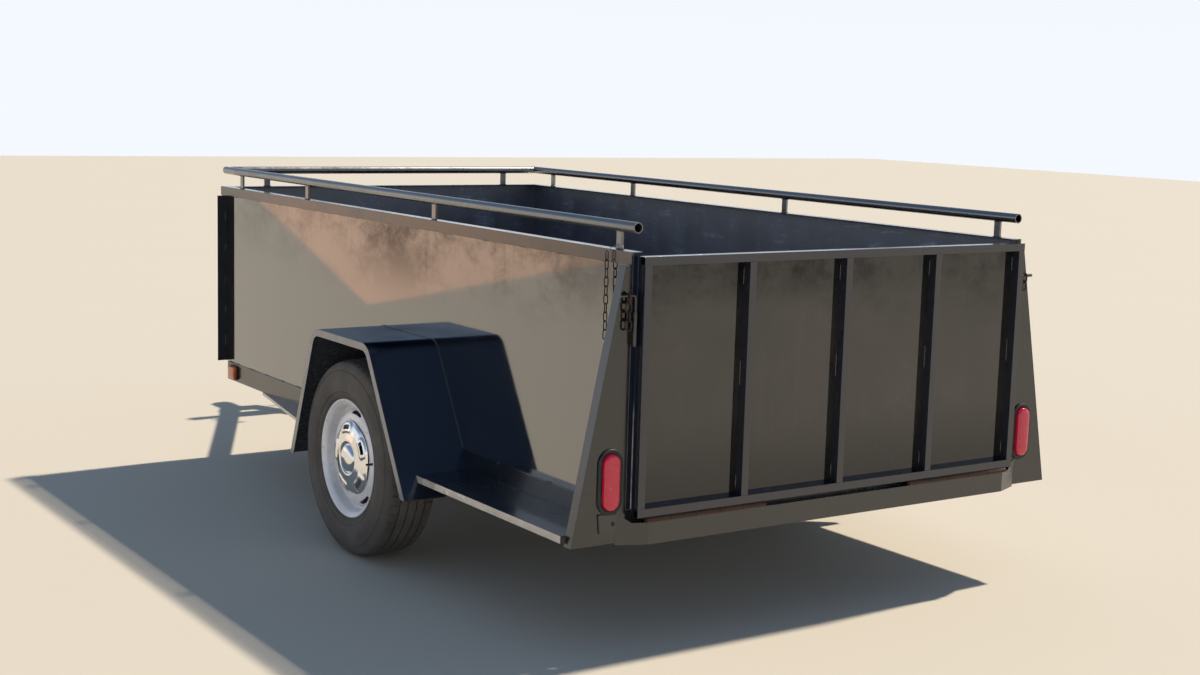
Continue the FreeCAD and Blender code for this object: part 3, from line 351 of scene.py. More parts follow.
def tyreRubber():
    paint = Finish("tyreRubber")
    dust = paint.blots(0.3, 0.7, 7, 8, 0.68)
    fine = paint.clouds(300, 5, 0.7)
    colour = paint.coats((0.034, 0.032, 0.031), (dust * 0.6 + 0.35, (0.14, 0.12, 0.1)),
                         (paint.step(fine, 0.55, 0.75) * 0.25, (0.2, 0.17, 0.14)))
    normal = paint.bump(fine, 0.0005, 0.55)
    return paint.set(Base_Color=colour, Roughness=0.72 + dust * 0.15, Normal=normal)


def softRubber(name="softRubber"):
    paint = Finish(name)
    fine = paint.clouds(420, 3, 0.6)
    dust = paint.blots(0.48, 0.72, 30, 6, 0.66)
    colour = paint.mix(dust * 0.45, (0.013, 0.013, 0.014), (0.085, 0.075, 0.065))
    normal = paint.bump(fine, 0.0003, 0.5)
    return paint.set(Base_Color=colour, Roughness=0.55 + dust * 0.2, Normal=normal)


def lens(name, deep, bright, ribs):
    # moulded prisms behind a clear face: the facets are in colour and a fine bump, with a faint painted glow
    # standing for light caught in the unlit lamp
    paint = Finish(name)
    grid = paint.node("ShaderNodeTexVoronoi", {"distance": "CHEBYCHEV"},
                      {"Vector": paint.scaled((1.0, 0.2, 1.0)), "Scale": ribs, "Randomness": 0.0})
    rings = paint.step(grid, 0.1, 0.42)
    dust = paint.blots(0.5, 0.75, 40, 6, 0.7)
    colour = paint.coats(deep, (rings, bright), (dust * 0.12, tone["paleDust"]))
    normal = paint.bump(rings, 0.0006, 0.35)
    paintedGlow = paint.mix(rings, [0.3 * part for part in deep], deep)
    return paint.set(Base_Color=colour, Roughness=0.12 + dust * 0.2, Coat_Weight=0.6, Normal=normal,
                     IOR=1.49, Emission_Color=paintedGlow, Emission_Strength=0.18)


def paleFloor():
    paint = Finish("paleFloor")
    soft = paint.clouds(0.9, 5, 0.6)
    colour = paint.mix(soft * 0.2, (0.59, 0.53, 0.44), (0.52, 0.47, 0.39))
    return paint.set(Base_Color=colour, Roughness=0.92)


paints = {
    "panel": wallPaint("sidePanel", wallOut - 0.0015, "X", 0.1, wave=0.0008),
    "frontPanel": wallPaint("frontPanel", middleOf("front_wall").y, "Y", 0.1, wave=0.0008),
    "gatePanel": wallPaint("gatePanel", abs(middleOf("gate_panel").y), "Y", 0.5, dust=0.17, gloss=0.05,
                           shine=(1.68, 0.54), coat=0.2, wave=0.0015, dustAndShadeBand=(0.44, 0.72, 0.98, 1.12)),
    "gateFrame": blackPaint("gateFrame", dust=0.3, streaks=0.2, rust=0.12, shine=(1.65, 0.5), base="paintedSkyBlue"),
    "corner": blackPaint("cornerPaint", dust=0.1, rust=0.1, shine=(1.35, 0.4), coat=0.12, base="paintedSkyBlue"),
    "frame": blackPaint("framePaint", dust=0.6, rust=0.45, gloss=0.18),
    "beam": blackPaint("beamPaint", dust=0.5, streaks=0.4, rust=0.75, gloss=0.18),
    "fin": blackPaint("finPaint", dust=0.35, streaks=0.2, rust=0.3, wave=0.002, low=0.4, shine=(1.65, 0.5)),
    "fender": blackPaint("fenderPaint", dust=0.3, rust=0.15, wave=0.0015, base="paintedSkyBlue", shine=(2.0, 0.6),
                         linedWithShadedTop=True, edge=(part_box("fender_right")[1].x, 0.34)),
    "board": blackPaint("boardPaint", dust=0.6, rust=0.35, base="paintedSkyBlue", gloss=0.16, shine=(2.2, 0.6),
                        coat=0.8, edge=(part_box("running_board_right")[1].x, 0.95)),
    "rail": blackPaint("railPaint", dust=0.5, rust=0.6, gloss=0.14, shine=(1.7, 0.5), bevel=0.003),
    "pipe": blackPaint("pipePaint", dust=1.6, rust=0.9, gloss=0.2, shine=(2.3, 0.6), coat=0.6),
    "weld": blackPaint("weldPaint", dust=0.5, rust=0.5, gloss=0.2, bevel=0.0004),
    "under": undercoat(),
    "floor": floorSteel(),
    "rusty": rustySteel("rustyHinge", 0.85, 0.5, 0.55),
    "spring": rustySteel("springSteel", 0.65, 0.45, 0.3),
    "chain": rustySteel("chainSteel", 0.7, 0.4, 0.55),
    "zinc": barSteel("zincSteel", (0.52, 0.53, 0.55), 0.34),
    "iron": barSteel("hubIron", (0.1, 0.085, 0.075), 0.6, stain=0.6),
    "silver": wheelSilver(),
    "chrome": chrome(),
    "tyre": tyreRubber(),
    "rubber": softRubber(),
    "red": lens("redLens", (0.32, 0.002, 0.02), (0.6, 0.005, 0.045), 260.0),
    "amber": lens("amberLens", (0.3, 0.035, 0.002), (0.62, 0.11, 0.01), 130.0),
    "markerBase": softRubber("markerBase"),
    "ground": paleFloor(),
}
print("stage: finishes")


# Camera, floor and lights

cameraSet = {
    "place": (-3.606, -6.11065, 1.634),
    "yaw": 0.597,
    "pitch": 0.142,
    "roll": 0.029,
    "lens": 51.405,
    "sensor": 36.0,
}
floorSize = 60.0
lightSet = {
    "sunFrom": (0.6, 0.03, 0.8),
    "sunPower": 4.7,
    "sunAngle": math.radians(2.0),
    "sunColour": (1.0, 0.91, 0.77),
    "skyLow": (0.9, 0.95, 1.0),  # colour and power at the horizon, then overhead
    "skyHigh": (0.42, 0.64, 1.0),
    "skyPower": (1.0, 0.36),
    "skyRise": (0.02, 0.55),  # between these heights of a unit direction it fades
    "cardCorner": (-3.148, 4.283, 0.167),  # a warm low card ahead and to the left, mirrored in the side plate
    "cardUp": (0.404, 0.699, 0.591),
    "cardAlong": (-0.865, 0.501, 0.001),
    "cardSize": (4.6, 1.4),
    "cardPower": 10.5,
    "cardColour": (1.0, 0.36, 0.13),
    "exposure": 0.0,
}


def linked(name, data):
    made = bpy.data.objects.new(name, data)
    bpy.context.scene.collection.objects.link(made)
    return made


def standing(place, right, up, back):
    return Matrix.Translation(place) @ Matrix((right, up, back)).transposed().to_4x4()


def makeCamera():
    data = bpy.data.cameras.new("camera")
    data.lens = cameraSet["lens"]
    data.sensor_width = cameraSet["sensor"]
    camera = linked("camera", data)
    yaw, pitch, roll = cameraSet["yaw"], cameraSet["pitch"], cameraSet["roll"]
    ahead = Vector((math.sin(yaw) * math.cos(pitch), math.cos(yaw) * math.cos(pitch), -math.sin(pitch)))
    right = Vector((math.cos(yaw), -math.sin(yaw), 0))
    up = right.cross(ahead)
    turnedRight = math.cos(roll) * right + math.sin(roll) * up
    turnedUp = math.cos(roll) * up - math.sin(roll) * right
    camera.matrix_world = standing(cameraSet["place"], turnedRight, turnedUp, -ahead)
    bpy.context.scene.camera = camera


def makeSun():
    sun = bpy.data.lights.new("sun", "SUN")
    sun.energy = lightSet["sunPower"]
    sun.angle = lightSet["sunAngle"]
    sun.color = lightSet["sunColour"]
    lamp = linked("sun", sun)
    lamp.rotation_mode = "QUATERNION"
    lamp.rotation_quaternion = Vector(lightSet["sunFrom"]).to_track_quat("Z", "Y")


def makeCard():
    along, up = Vector(lightSet["cardAlong"]), Vector(lightSet["cardUp"])
    wide, tall = lightSet["cardSize"]
    card = bpy.data.lights.new("card", "AREA")
    card.shape = "RECTANGLE"
    card.size, card.size_y = wide, tall
    card.energy = lightSet["cardPower"]
    card.color = lightSet["cardColour"]
    board = linked("card", card)
    away = along.cross(up)
    middle = Vector(lightSet["cardCorner"]) + along * wide / 2 + up * tall / 2
    board.matrix_world = standing(middle, along, away.cross(along), away)
    board.visible_camera = False


def makeSky():
    world = bpy.data.worlds.new("sky")
    world.use_nodes = True
    bpy.context.scene.world = world
    sky = Finish("sky", world)
    direction = sky.node("ShaderNodeTexCoord", {}, {}, "Generated")
    rise = sky.step(sky.axis("Z", direction), *lightSet["skyRise"])
    low, high = lightSet["skyPower"]
    sky.set(Color=sky.mix(rise, lightSet["skyLow"], lightSet["skyHigh"]), Strength=low + rise * (high - low))


makeCamera()
makeSun()
makeCard()
makeSky()
bpy.context.scene.view_settings.view_transform = "Standard"
bpy.context.scene.view_settings.exposure = lightSet["exposure"]
print("stage: camera and lights")


# Every CAD node takes one of the finishes

def pair(name):
    return name + "_left", name + "_right"


wears = {
    "panel": pair("side_wall"),
    "frontPanel": ("front_wall",),
    "gatePanel": ("gate_panel",),
    "gateFrame": ("gate_bars", "gate_ribs"),
    "corner": ("corner_angles",),
    "frame": (*pair("frame_rail"), *pair("tongue_tube"), "front_beam", "coupler", "latch_rods"),
    "beam": ("rear_beam",),
    "fin": pair("rear_fin"),
    "fender": pair("fender"),
    "board": (*pair("running_board"), "side_wedges"),
    "rail": (*pair("top_rail"), "top_rail_front"),
    "pipe": (*pair("tie_pipe"), "tie_pipe_front", "tie_posts"),
    "under": ("cross_members", "spring_hangers", "axle_beam", "axle_spindles"),
    "floor": ("floor_plate",),
    "rusty": ("beam_hinges", "gate_hinges"),
    "spring": (*pair("leaf_spring"), "spring_shackles", "axle_clamps"),
    "chain": ("latch_chains", "safety_chains"),
    "zinc": ("jack_tube", "jack_crank", "jack_leg", "coupler_latch"),
    "iron": pair("hub"),
    "silver": pair("rim"),
    "chrome": pair("hub_cap"),
    "tyre": pair("tyre"),
    "rubber": ("light_grommets",),
    "red": ("tail_lights",),
    "amber": ("side_markers",),
}


def dress(node, paint):
    slots = nodes[node].material_slots
    if not slots:
        nodes[node].data.materials.append(paints[paint])
    for slot in slots:
        slot.material = paints[paint]


for paint, names in wears.items():
    for name in names:
        dress(name, paint)
undressed = set(nodes) - {name for names in wears.values() for name in names}
print("stage: frame dressed, left over:", sorted(undressed))


# Making meshes

class Heap:
    # points and faces gathered into one piece
    def __init__(self):
        self.points = []
        self.faces = []

    def add(self, points, faces, place=None):
        start = len(self.points)
        self.points += [tuple(place @ Vector(p)) if place else tuple(p) for p in points]
        self.faces += [tuple(start + i for i in face) for face in faces]

    def weave(self, rows, closeRows=False, closeColumns=False, place=None, caps=False):
        # quads over a table of rows, with its first and last rows capped if asked
        deep, wide = len(rows), len(rows[0])
        faces = []
        for i in range(deep if closeRows else deep - 1):
            for j in range(wide if closeColumns else wide - 1):
                k, n = (i + 1) % deep, (j + 1) % wide
                faces.append((i * wide + j, i * wide + n, k * wide + n, k * wide + j))
        if caps:
            faces += [tuple(range(wide)), tuple(range(deep * wide - 1, (deep - 1) * wide - 1, -1))]
        self.add([p for row in rows for p in row], faces, place)

    def piece(self, name, paint, body, slot, sharp=40.0, thick=0.0):
        mesh = bpy.data.meshes.new(name)
        mesh.from_pydata(self.points, [], self.faces)
        shape = bmesh.new()
        shape.from_mesh(mesh)
        if thick:
            bmesh.ops.solidify(shape, geom=shape.faces[:], thickness=thick)
        bmesh.ops.recalc_face_normals(shape, faces=shape.faces[:])
        shape.to_mesh(mesh)
        shape.free()
        mesh.materials.append(paints[paint])
        mesh.polygons.foreach_set("use_smooth", [True] * len(mesh.polygons))
        mesh.set_sharp_from_angle(angle=math.radians(sharp))
        piece = linked(name, mesh)
        if body is not None:
            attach(piece, body)
        return piece


def curveThrough(points, steps):
    # a smooth line through the points, steps pieces between each two
    line = []
    for i in range(len(points) - 1):
        before, a, b, after = (Vector(points[max(0, min(len(points) - 1, i + k))]) for k in (-1, 0, 1, 2))
        for s in range(steps):
            t = s / steps
            line.append(0.5 * (2 * a + (b - before) * t + (2 * before - 5 * a + 4 * b - after) * t * t
                               + (3 * a - before - 3 * b + after) * t ** 3))
    return line + [Vector(points[-1])]


def wholeTurn(count):
    return [2 * math.pi * k / count for k in range(count)]


def tubeAlong(heap, line, radius, sides=10, closed=False, swell=None):
    # a round bar along a line of points
    line = [Vector(p) for p in line]
    count = len(line)
    rows = []
    side = None
    for i, p in enumerate(line):
        after = line[(i + 1) % count] if closed or i < count - 1 else p
        ahead = (after - (line[i - 1] if closed or i else p)).normalized()
        if side is None:
            side = ahead.orthogonal()
        side = (side - ahead * side.dot(ahead)).normalized()
        up = ahead.cross(side)
        r = radius * (swell(i / max(1, count - 1)) if swell else 1.0)
        rows.append([p + r * (math.cos(a) * side + math.sin(a) * up) for a in wholeTurn(sides)])
    heap.weave(rows, closeRows=closed, closeColumns=True, caps=not closed)


def turned(out, r, angle, side):
    # a point of a wheel: out from the tyre's middle plane, r from its axis, angle from the top
    x, y, z = wheelMiddle
    return side * (x + out), y + r * math.sin(angle), z + r * math.cos(angle)


# Tyres

tyreSet = {
    "blocks": 60,  # pitches of tread round the tyre
    "cuts": (0.0, 0.035, 0.13, 0.165, 0.44, 0.72),  # rows within a pitch, the second and third in the notch
    "grooves": (-0.048, -0.0165, 0.0165, 0.048),
    "grooveWidth": 0.0062,
    "grooveDepth": 0.0065,
    "zigzag": 0.002,
    "notch": (0.0555, 0.0765),
    "notchDepth": 0.0042,
    "notchFoot": 0.333,  # notches cut the wall above this radius
    "treadHalf": 0.07,
    "crown": 0.3448,
    "shoulder": 0.34,
    "wall": ((0.0765, 0.1912), (0.0822, 0.201), (0.0845, 0.211), (0.0905, 0.22), (0.0985, 0.24),
             (0.1015, 0.26), (0.101, 0.276), (0.0975, 0.296), (0.0925, 0.314), (0.0865, 0.327),
             (0.08, 0.335), (0.07, 0.34)),
    "wallRows": (33, 0.0045),  # how many rows the wall has and how far apart
    "rings": ((0.218, 0.0012), (0.232, 0.0009), (0.2345, 0.0009), (0.305, 0.001), (0.3085, 0.001)),
    "ringRows": (-0.0012, -0.0006, 0.0006, 0.0012),
    "grooveEdge": (0.0006, 0.0008),  # past its lip and down its side
    "plainRows": (-0.032, 0.0, 0.032),
    "shoulderRows": (0.0543, 0.0555, 0.06, 0.065),
}


def tyreWall():
    dense = curveThrough(tyreSet["wall"], 30)
    count, gap = tyreSet["wallRows"]
    heights = [tyreSet["wall"][0][1] + gap * i for i in range(count)]
    for ring in tyreSet["rings"]:
        heights += [ring[0] + d for d in tyreSet["ringRows"]]
    wall = []
    for r in sorted(h for h in heights if h < tyreSet["shoulder"] - 0.001):
        out = min(dense, key=lambda p: abs(p.y - r)).x
        swell = sum(rise for ring, rise in tyreSet["rings"] if abs(r - ring) < 0.0007)
        wall.append((out + swell, r))
    return wall + [tyreSet["wall"][-1]]


def treadColumns():
    # (across, drop) from one shoulder to the other
    columns = []
    half, deep = tyreSet["grooveWidth"] / 2, tyreSet["grooveDepth"]
    past, slope = tyreSet["grooveEdge"]
    for c in tyreSet["grooves"]:
        columns += [(c - half - past, 0.0), (c - half, 0.0), (c - half + slope, deep),
                    (c + half - slope, deep), (c + half, 0.0), (c + half + past, 0.0)]
    columns += [(x, 0.0) for x in tyreSet["plainRows"]]
    for side in (-1, 1):
        columns += [(side * x, 0.0) for x in tyreSet["shoulderRows"]]
    return sorted(columns)


def makeTyre(side, name):
    wall = tyreWall()
    tread = treadColumns()
    low, high = tyreSet["notch"]
    pitch = 2 * math.pi / tyreSet["blocks"]
    rows = []
    for block in range(tyreSet["blocks"]):
        for n, share in enumerate(tyreSet["cuts"]):
            angle = (block + share) * pitch
            sway = tyreSet["zigzag"] * (abs(2 * share - 1) * 2 - 1)
            depth = tyreSet["notchDepth"] if n in (1, 2) else 0.0
            cut = [(out, r - depth if out <= high and r > tyreSet["notchFoot"] else r) for out, r in wall]
            row = [turned(-out, r, angle, side) for out, r in cut]
            for across, drop in tread:
                inGroove = any(abs(across - c) < tyreSet["grooveWidth"] for c in tyreSet["grooves"])
                bend = (across / tyreSet["treadHalf"]) ** 2
                r = tyreSet["crown"] - (tyreSet["crown"] - tyreSet["shoulder"]) * bend - drop
                r -= depth if abs(across) >= low else 0.0
                row.append(turned(across + (sway if inGroove else 0.0), r, angle, side))
            rows.append(row + [turned(out, r, angle, side) for out, r in reversed(cut)])
    heap = Heap()
    heap.weave(rows, closeRows=True, closeColumns=True)
    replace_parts(heap.piece("tyreTread_" + name, "tyre", "wheel_" + name, "tyre", 32.0), "tyre_" + name)


# Rims, with their dished disc, slots and a valve

rimSet = {
    "around": 200,
    "face": ((0.084, 0.2084), (0.0868, 0.208), (0.088, 0.2062), (0.0878, 0.2035), (0.0858, 0.2002),
             (0.0822, 0.1955), (0.0772, 0.1895), (0.07, 0.187), (0.056, 0.1864), (0.044, 0.1852),
             (0.0372, 0.178), (0.03, 0.165), (0.024, 0.1616), (0.012, 0.161)),
    "back": ((-0.034, 0.161), (-0.04, 0.166), (-0.05, 0.1864), (-0.077, 0.1868), (-0.0835, 0.2),
             (-0.088, 0.205), (-0.088, 0.208), (-0.084, 0.2084), (-0.08, 0.202), (-0.0775, 0.1905),
             (-0.05, 0.19), (-0.0375, 0.165), (0.026, 0.165), (0.04, 0.19), (0.077, 0.1905),
             (0.08, 0.202)),
    "disc": ((0.034, 0.176), (0.04, 0.1752), (0.046, 0.1725), (0.0515, 0.1688), (0.056, 0.1645),
             (0.059, 0.16), (0.0615, 0.1555), (0.0636, 0.15), (0.065, 0.143), (0.0655, 0.134),
             (0.063, 0.123), (0.056, 0.111), (0.045, 0.101), (0.033, 0.092), (0.024, 0.08),
             (0.0225, 0.044)),
    "discSteel": 0.004,
    "slots": 5,
    "firstSlot": -3,  # its row, counted forwards from the top
    "slotHalf": 7,  # rows each side of a slot's middle
    "slotSpan": (3, 6),  # stretches of the disc's line that a slot opens
    "valve": {"angle": -1.5, "place": (0.07, 0.1805), "length": 0.03, "dip": 0.006, "radius": 0.0042,
              "girths": (1.15, 0.85)},
}


def makeRim(side, name):
    body = "wheel_" + name
    turns = wholeTurn(rimSet["around"])
    line = curveThrough(rimSet["face"], 3) + [Vector(p) for p in rimSet["back"]]
    rows = [[turned(p.x, p.y, a, side) for p in line] for a in turns]
    barrel = Heap()
    barrel.weave(rows, closeRows=True, closeColumns=True)
    rim = barrel.piece("rimBarrel_" + name, "silver", body, "silver_paint", 50.0)
    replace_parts(rim, "rim_" + name)
    rows = [[turned(out, r, a, side) for out, r in rimSet["disc"]] for a in turns]
    disc = slotted(rows, rimSet["slots"], rimSet["slotHalf"], rimSet["slotSpan"], rimSet["firstSlot"])
    disc.piece("rimDisc_" + name, "silver", body, "silver_paint", 50.0, side * rimSet["discSteel"])
    valve = rimSet["valve"]
    out, r = valve["place"]
    stem = Heap()
    points = [turned(out + valve["length"] * t, r - valve["dip"] * t, valve["angle"], side)
              for t in (0, 0.3, 0.6, 1.0)]
    foot, tip = valve["girths"]
    tubeAlong(stem, points, valve["radius"], 12, swell=lambda t: foot if t < 0.5 else tip)
    stem.piece("valveStem_" + name, "rubber", body, "rubber")


def slotted(rows, count, half, span, first):
    # a sheet round a wheel with count openings in it, their corners cut off
    heap = Heap()
    around, wide = len(rows), len(rows[0])
    heap.points = [p for row in rows for p in row]
    low, high = span
    start = around // count - half
    # at an opening's four corners one point of the face is left out
    cuts = {(start, low): 2, (start, high - 1): 3, (half - 1, low): 1, (half - 1, high - 1): 0}
    for i in range(around):
        step, k = (i - first) % (around // count), (i + 1) % around
        for j in range(wide - 1):
            corners = [i * wide + j, i * wide + j + 1, k * wide + j + 1, k * wide + j]
            if low <= j < high and (step < half or step >= start):
                if (step, j) not in cuts:
                    continue
                corners.pop(cuts[step, j])
            heap.faces.append(corners)
    return heap


# Chromed centre caps

capSet = {
    "around": 240,
    "openings": 5,
    "firstOpening": 7,  # its row, counted forwards from the top
    "reach": 0.131,
    "waist": 0.005,  # the edge draws in this much between the lobes
    "waistFrom": 0.118,  # outwards from this radius
    "radii": (0.131, 0.13, 0.128, 0.1255, 0.123, 0.1205, 0.118, 0.114, 0.11, 0.106, 0.102, 0.0985,
              0.095, 0.09, 0.085, 0.08, 0.074, 0.069, 0.065, 0.062, 0.0595, 0.057, 0.055, 0.053,
              0.051, 0.0495, 0.048, 0.0466, 0.045, 0.0425, 0.039, 0.034, 0.028, 0.021, 0.014, 0.007,
              0.002),
    "outline": ((0.07, 0.131), (0.0708, 0.129), (0.073, 0.124), (0.0768, 0.114), (0.08, 0.102),
                (0.0826, 0.09), (0.0848, 0.078), (0.0868, 0.068), (0.0878, 0.061), (0.0868, 0.0565),
                (0.0828, 0.053), (0.0816, 0.0505), (0.0826, 0.048), (0.0868, 0.0464), (0.0905, 0.043),
                (0.0945, 0.035), (0.097, 0.023), (0.0985, 0.011), (0.099, 0.0)),
    "tab": (0.036, 0.0175, 0.11, 0.004),  # half width, half height, middle radius, rise
    "tabEdge": (1.25, 0.45),  # where it ends and how wide its slope is, in half widths
    "openSpan": (6, 10),
    "openHalf": 8,
    "steel": 0.0013,
}


def capPoint(r, out, angle, side):
    spin = angle - 2 * math.pi * capSet["firstOpening"] / capSet["around"]
    lobe = 0.5 + 0.5 * math.cos(capSet["openings"] * spin)
    draw = max(0.0, (r - capSet["waistFrom"]) / (capSet["reach"] - capSet["waistFrom"]))
    place = r - capSet["waist"] * draw * (1 - lobe) ** 2
    wide, tall, middle, rise = capSet["tab"]
    turn = (spin * capSet["openings"] / (2 * math.pi) + 0.5) % 1.0 - 0.5
    across = turn * 2 * math.pi / capSet["openings"] * r / wide
    far = math.hypot(across ** 2, ((r - middle) / tall) ** 2)
    end, slope = capSet["tabEdge"]
    out += rise * max(0.0, min(1.0, (end - far) / slope))
    return turned(out, place, angle, side)


def makeCap(side, name):
    around = capSet["around"]
    outline = curveThrough(capSet["outline"], 24)
    outs = [min(outline, key=lambda p: abs(p.y - r)).x for r in capSet["radii"]]
    rows = [[capPoint(r, out, a, side) for r, out in zip(capSet["radii"], outs)] for a in wholeTurn(around)]
    cap = slotted(rows, capSet["openings"], capSet["openHalf"], capSet["openSpan"], capSet["firstOpening"])
    middle = turned(capSet["outline"][-1][0], 0.0, 0.0, side)
    wide = len(capSet["radii"])
    cap.points.append(middle)
    cap.faces += [(i * wide + wide - 1, len(cap.points) - 1, (i + 1) % around * wide + wide - 1)
                  for i in range(around)]
    piece = cap.piece("centreCap_" + name, "chrome", "wheel_" + name, "chrome", 60.0, side * capSet["steel"])
    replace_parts(piece, "hub_cap_" + name)


for side, name in ((-1, "left"), (1, "right")):
    makeTyre(side, name)
    makeRim(side, name)
    makeCap(side, name)
print("stage: wheels")


# Tail lights and side markers

lampSet = {
    "x": 0.8545,
    "z": 0.522,
    "length": 0.166,
    "width": 0.056,
    "lens": ((0.0, 0.008), (0.0, -0.012), (0.0008, -0.0142), (0.0026, -0.016), (0.0056, -0.0174),
             (0.01, -0.0184), (0.0155, -0.019), (0.0215, -0.0193), (0.0272, -0.0194)),
    "lip": 0.0153,  # the rubber reaches this far past the lens
    "rubber": ((0.0, -0.0002), (0.0, -0.003), (0.0008, -0.005), (0.0026, -0.0065), (0.0055, -0.007),
               (0.009, -0.0066), (0.012, -0.0058), (0.014, -0.005), (0.015, -0.004), (0.015, 0.011),
               (0.0102, 0.011), (0.0102, -0.0002)),
    "back": ((0.0, 0.0084), (0.0, 0.0112), (0.003, 0.0128)),
}
markerSet = {
    "y": finY + 2.942,
    "z": 0.393,
    "halfLong": 0.035,
    "halfTall": 0.031,
    "base": ((0.0, 0.0), (0.0, 0.0048), (0.0008, 0.0058), (0.002, 0.0062), (0.006, 0.0064)),
    "lens": ((0.005, 0.004), (0.005, 0.012), (0.0056, 0.015), (0.007, 0.017), (0.0095, 0.0184),
             (0.013, 0.0192), (0.018, 0.0197), (0.024, 0.0199)),
    "corner": 0.01,
}


def slotRing(length, width, inset, steps=18):
    # points (across, up) round an upright slot, drawn in by inset
    r = width / 2 - inset
    straight = (length - width) / 2
    ring = []
    for top in (1, -1):
        for i in range(steps + 1):
            a = math.pi * i / steps
            ring.append((top * r * math.cos(a), top * (straight + r * math.sin(a))))
    return ring


def boxRing(inset, steps=5):
    # points (along, up) round the marker, a box with round corners, drawn in by inset
    halfLong, halfTall = markerSet["halfLong"], markerSet["halfTall"]
    r = max(0.0005, markerSet["corner"] - inset)
    ring = []
    for n, (a, b) in enumerate(((1, 1), (-1, 1), (-1, -1), (1, -1))):
        for i in range(steps + 1):
            turn = math.pi / 2 * (n + i / steps)
            ring.append((a * (halfLong - inset - r) + r * math.cos(turn),
                         b * (halfTall - inset - r) + r * math.sin(turn)))
    return ring


def lampRows(side, line, past=0.0):
    # rings of points round a lamp, this far past its lens
    long, wide = lampSet["length"] + 2 * past, lampSet["width"] + 2 * past
    return [[(side * lampSet["x"] + a, finY + depth, lampSet["z"] + u)
             for a, u in slotRing(long, wide, inset)] for inset, depth in line]


def makeLamps():
    lenses, rubbers = Heap(), Heap()
    for side in (-1, 1):
        lenses.weave(lampRows(side, lampSet["lens"]), closeColumns=True, caps=True)
        rubber = lampRows(side, lampSet["rubber"], lampSet["lip"])
        rubbers.weave(rubber, closeRows=True, closeColumns=True)
        rubbers.weave(lampRows(side, lampSet["back"]), closeColumns=True, caps=True)
    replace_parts(lenses.piece("tailLenses", "red", "trailer", "red_lens"), "tail_lights")
    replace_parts(rubbers.piece("lampRubbers", "rubber", "trailer", "rubber"), "light_grommets")


def makeMarkers():
    lenses, bases = Heap(), Heap()
    for side in (-1, 1):
        for heap, key in ((bases, "base"), (lenses, "lens")):
            rows = [[(side * (railFace + out), markerSet["y"] + a, markerSet["z"] + u)
                     for a, u in boxRing(inset)] for inset, out in markerSet[key]]
            heap.weave(rows, closeColumns=True, caps=True)
    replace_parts(lenses.piece("markerLenses", "amber", "trailer", "amber_lens"), "side_markers")
    bases.piece("markerBases", "markerBase", "trailer", "rubber")


makeLamps()
makeMarkers()
print("stage: lights")


# Chains, the hook at the long chain's end and the wire round its post

postSet = {
    "x": 0.781,
    "half": (0.004, 0.013),
    "side": (0.09, 1.21, 2.25, 2.91),
    "front": (0.6, 3.073),
    "welds": ((1.186, 0.003), (1.2395, 0.0024)),  # height and girth at its foot and head
}
chainSet = {
    "thin": (0.0256, 0.0017, 0.0145, 0.006),  # pitch, bar's radius, half length, half width to its middle
    "thick": (0.0256, 0.0029, 0.016, 0.0089),
    "long": {"place": (-0.8133, 0.108, 1.167), "links": 10},
    "latches": (((-0.815, -0.013, 1.0553), 4), ((0.815, -0.013, 1.0553), 2)),
    "safety": (((-0.07, 4.1, 0.3357), 6), ((0.07, 4.1, 0.3357), 6)),
    "hook": ((-0.8133, 0.108, 0.925), (-0.8126, 0.112, 0.916), (-0.812, 0.113, 0.906),
             (-0.813, 0.104, 0.8985), (-0.8145, 0.09, 0.8975), (-0.816, 0.082, 0.904),
             (-0.816, 0.084, 0.912)),
    "hookBar": 0.0019,
    "wire": 0.0011,
    "wireAway": ((-0.014, 0.004, 0.01), (-0.026, 0.01, 0.004)),  # out from the post's foot
    "wireDown": ((0.0, 0.106, -0.004), (-0.003, 0.103, -0.014)),  # through the chain's top link
    "sway": (0.16, 0.05),  # a link's turn and lean stray by this much
    "coil": {"points": 49, "perTurn": 14, "halves": (0.0065, 0.0155), "rise": 0.0028, "foot": 0.003},
}


def chainLink(heap, middle, turn, lean, size):
    bar, half, width = size[1:]
    place = Matrix.Translation(middle) @ Matrix.Rotation(turn, 4, "Z") @ Matrix.Rotation(lean, 4, "X")
    line = []
    for top in (1, -1):
        for i in range(7):
            a = math.pi * i / 6
            across, rise = width * math.cos(a), half - width + width * math.sin(a)
            line.append(place @ Vector((0.0, top * across, top * rise)))
    tubeAlong(heap, line, bar, 8, closed=True)


def hangChain(heap, place, links, chance, size):
    x, y, z = place
    turnMost, leanMost = chainSet["sway"]
    for i in range(links):
        turn = (math.pi / 2 if i % 2 else 0.0) + chance.uniform(-turnMost, turnMost)
        chainLink(heap, (x, finY + y, z - i * size[0]), turn, chance.uniform(-leanMost, leanMost), size)


def makeChains():
    chance = random.Random(11)
    rear, front = Heap(), Heap()
    hangChain(rear, chainSet["long"]["place"], chainSet["long"]["links"], chance, chainSet["thin"])
    for place, links in chainSet["latches"]:
        hangChain(rear, place, links, chance, chainSet["thick"])
    for place, links in chainSet["safety"]:
        hangChain(front, place, links, chance, chainSet["thick"])
    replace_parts(rear.piece("latchChainLinks", "chain", "trailer", "chain_steel"), "latch_chains")
    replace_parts(front.piece("safetyChainLinks", "chain", "trailer", "chain_steel"), "safety_chains")
    wire = Heap()
    hook = curveThrough([(x, finY + y, z) for x, y, z in chainSet["hook"]], 5)
    tubeAlong(wire, hook, chainSet["hookBar"], 8)
    tubeAlong(wire, wireLoops(), chainSet["wire"], 6)
    wire.piece("chainWire", "zinc", "trailer", "zinc")


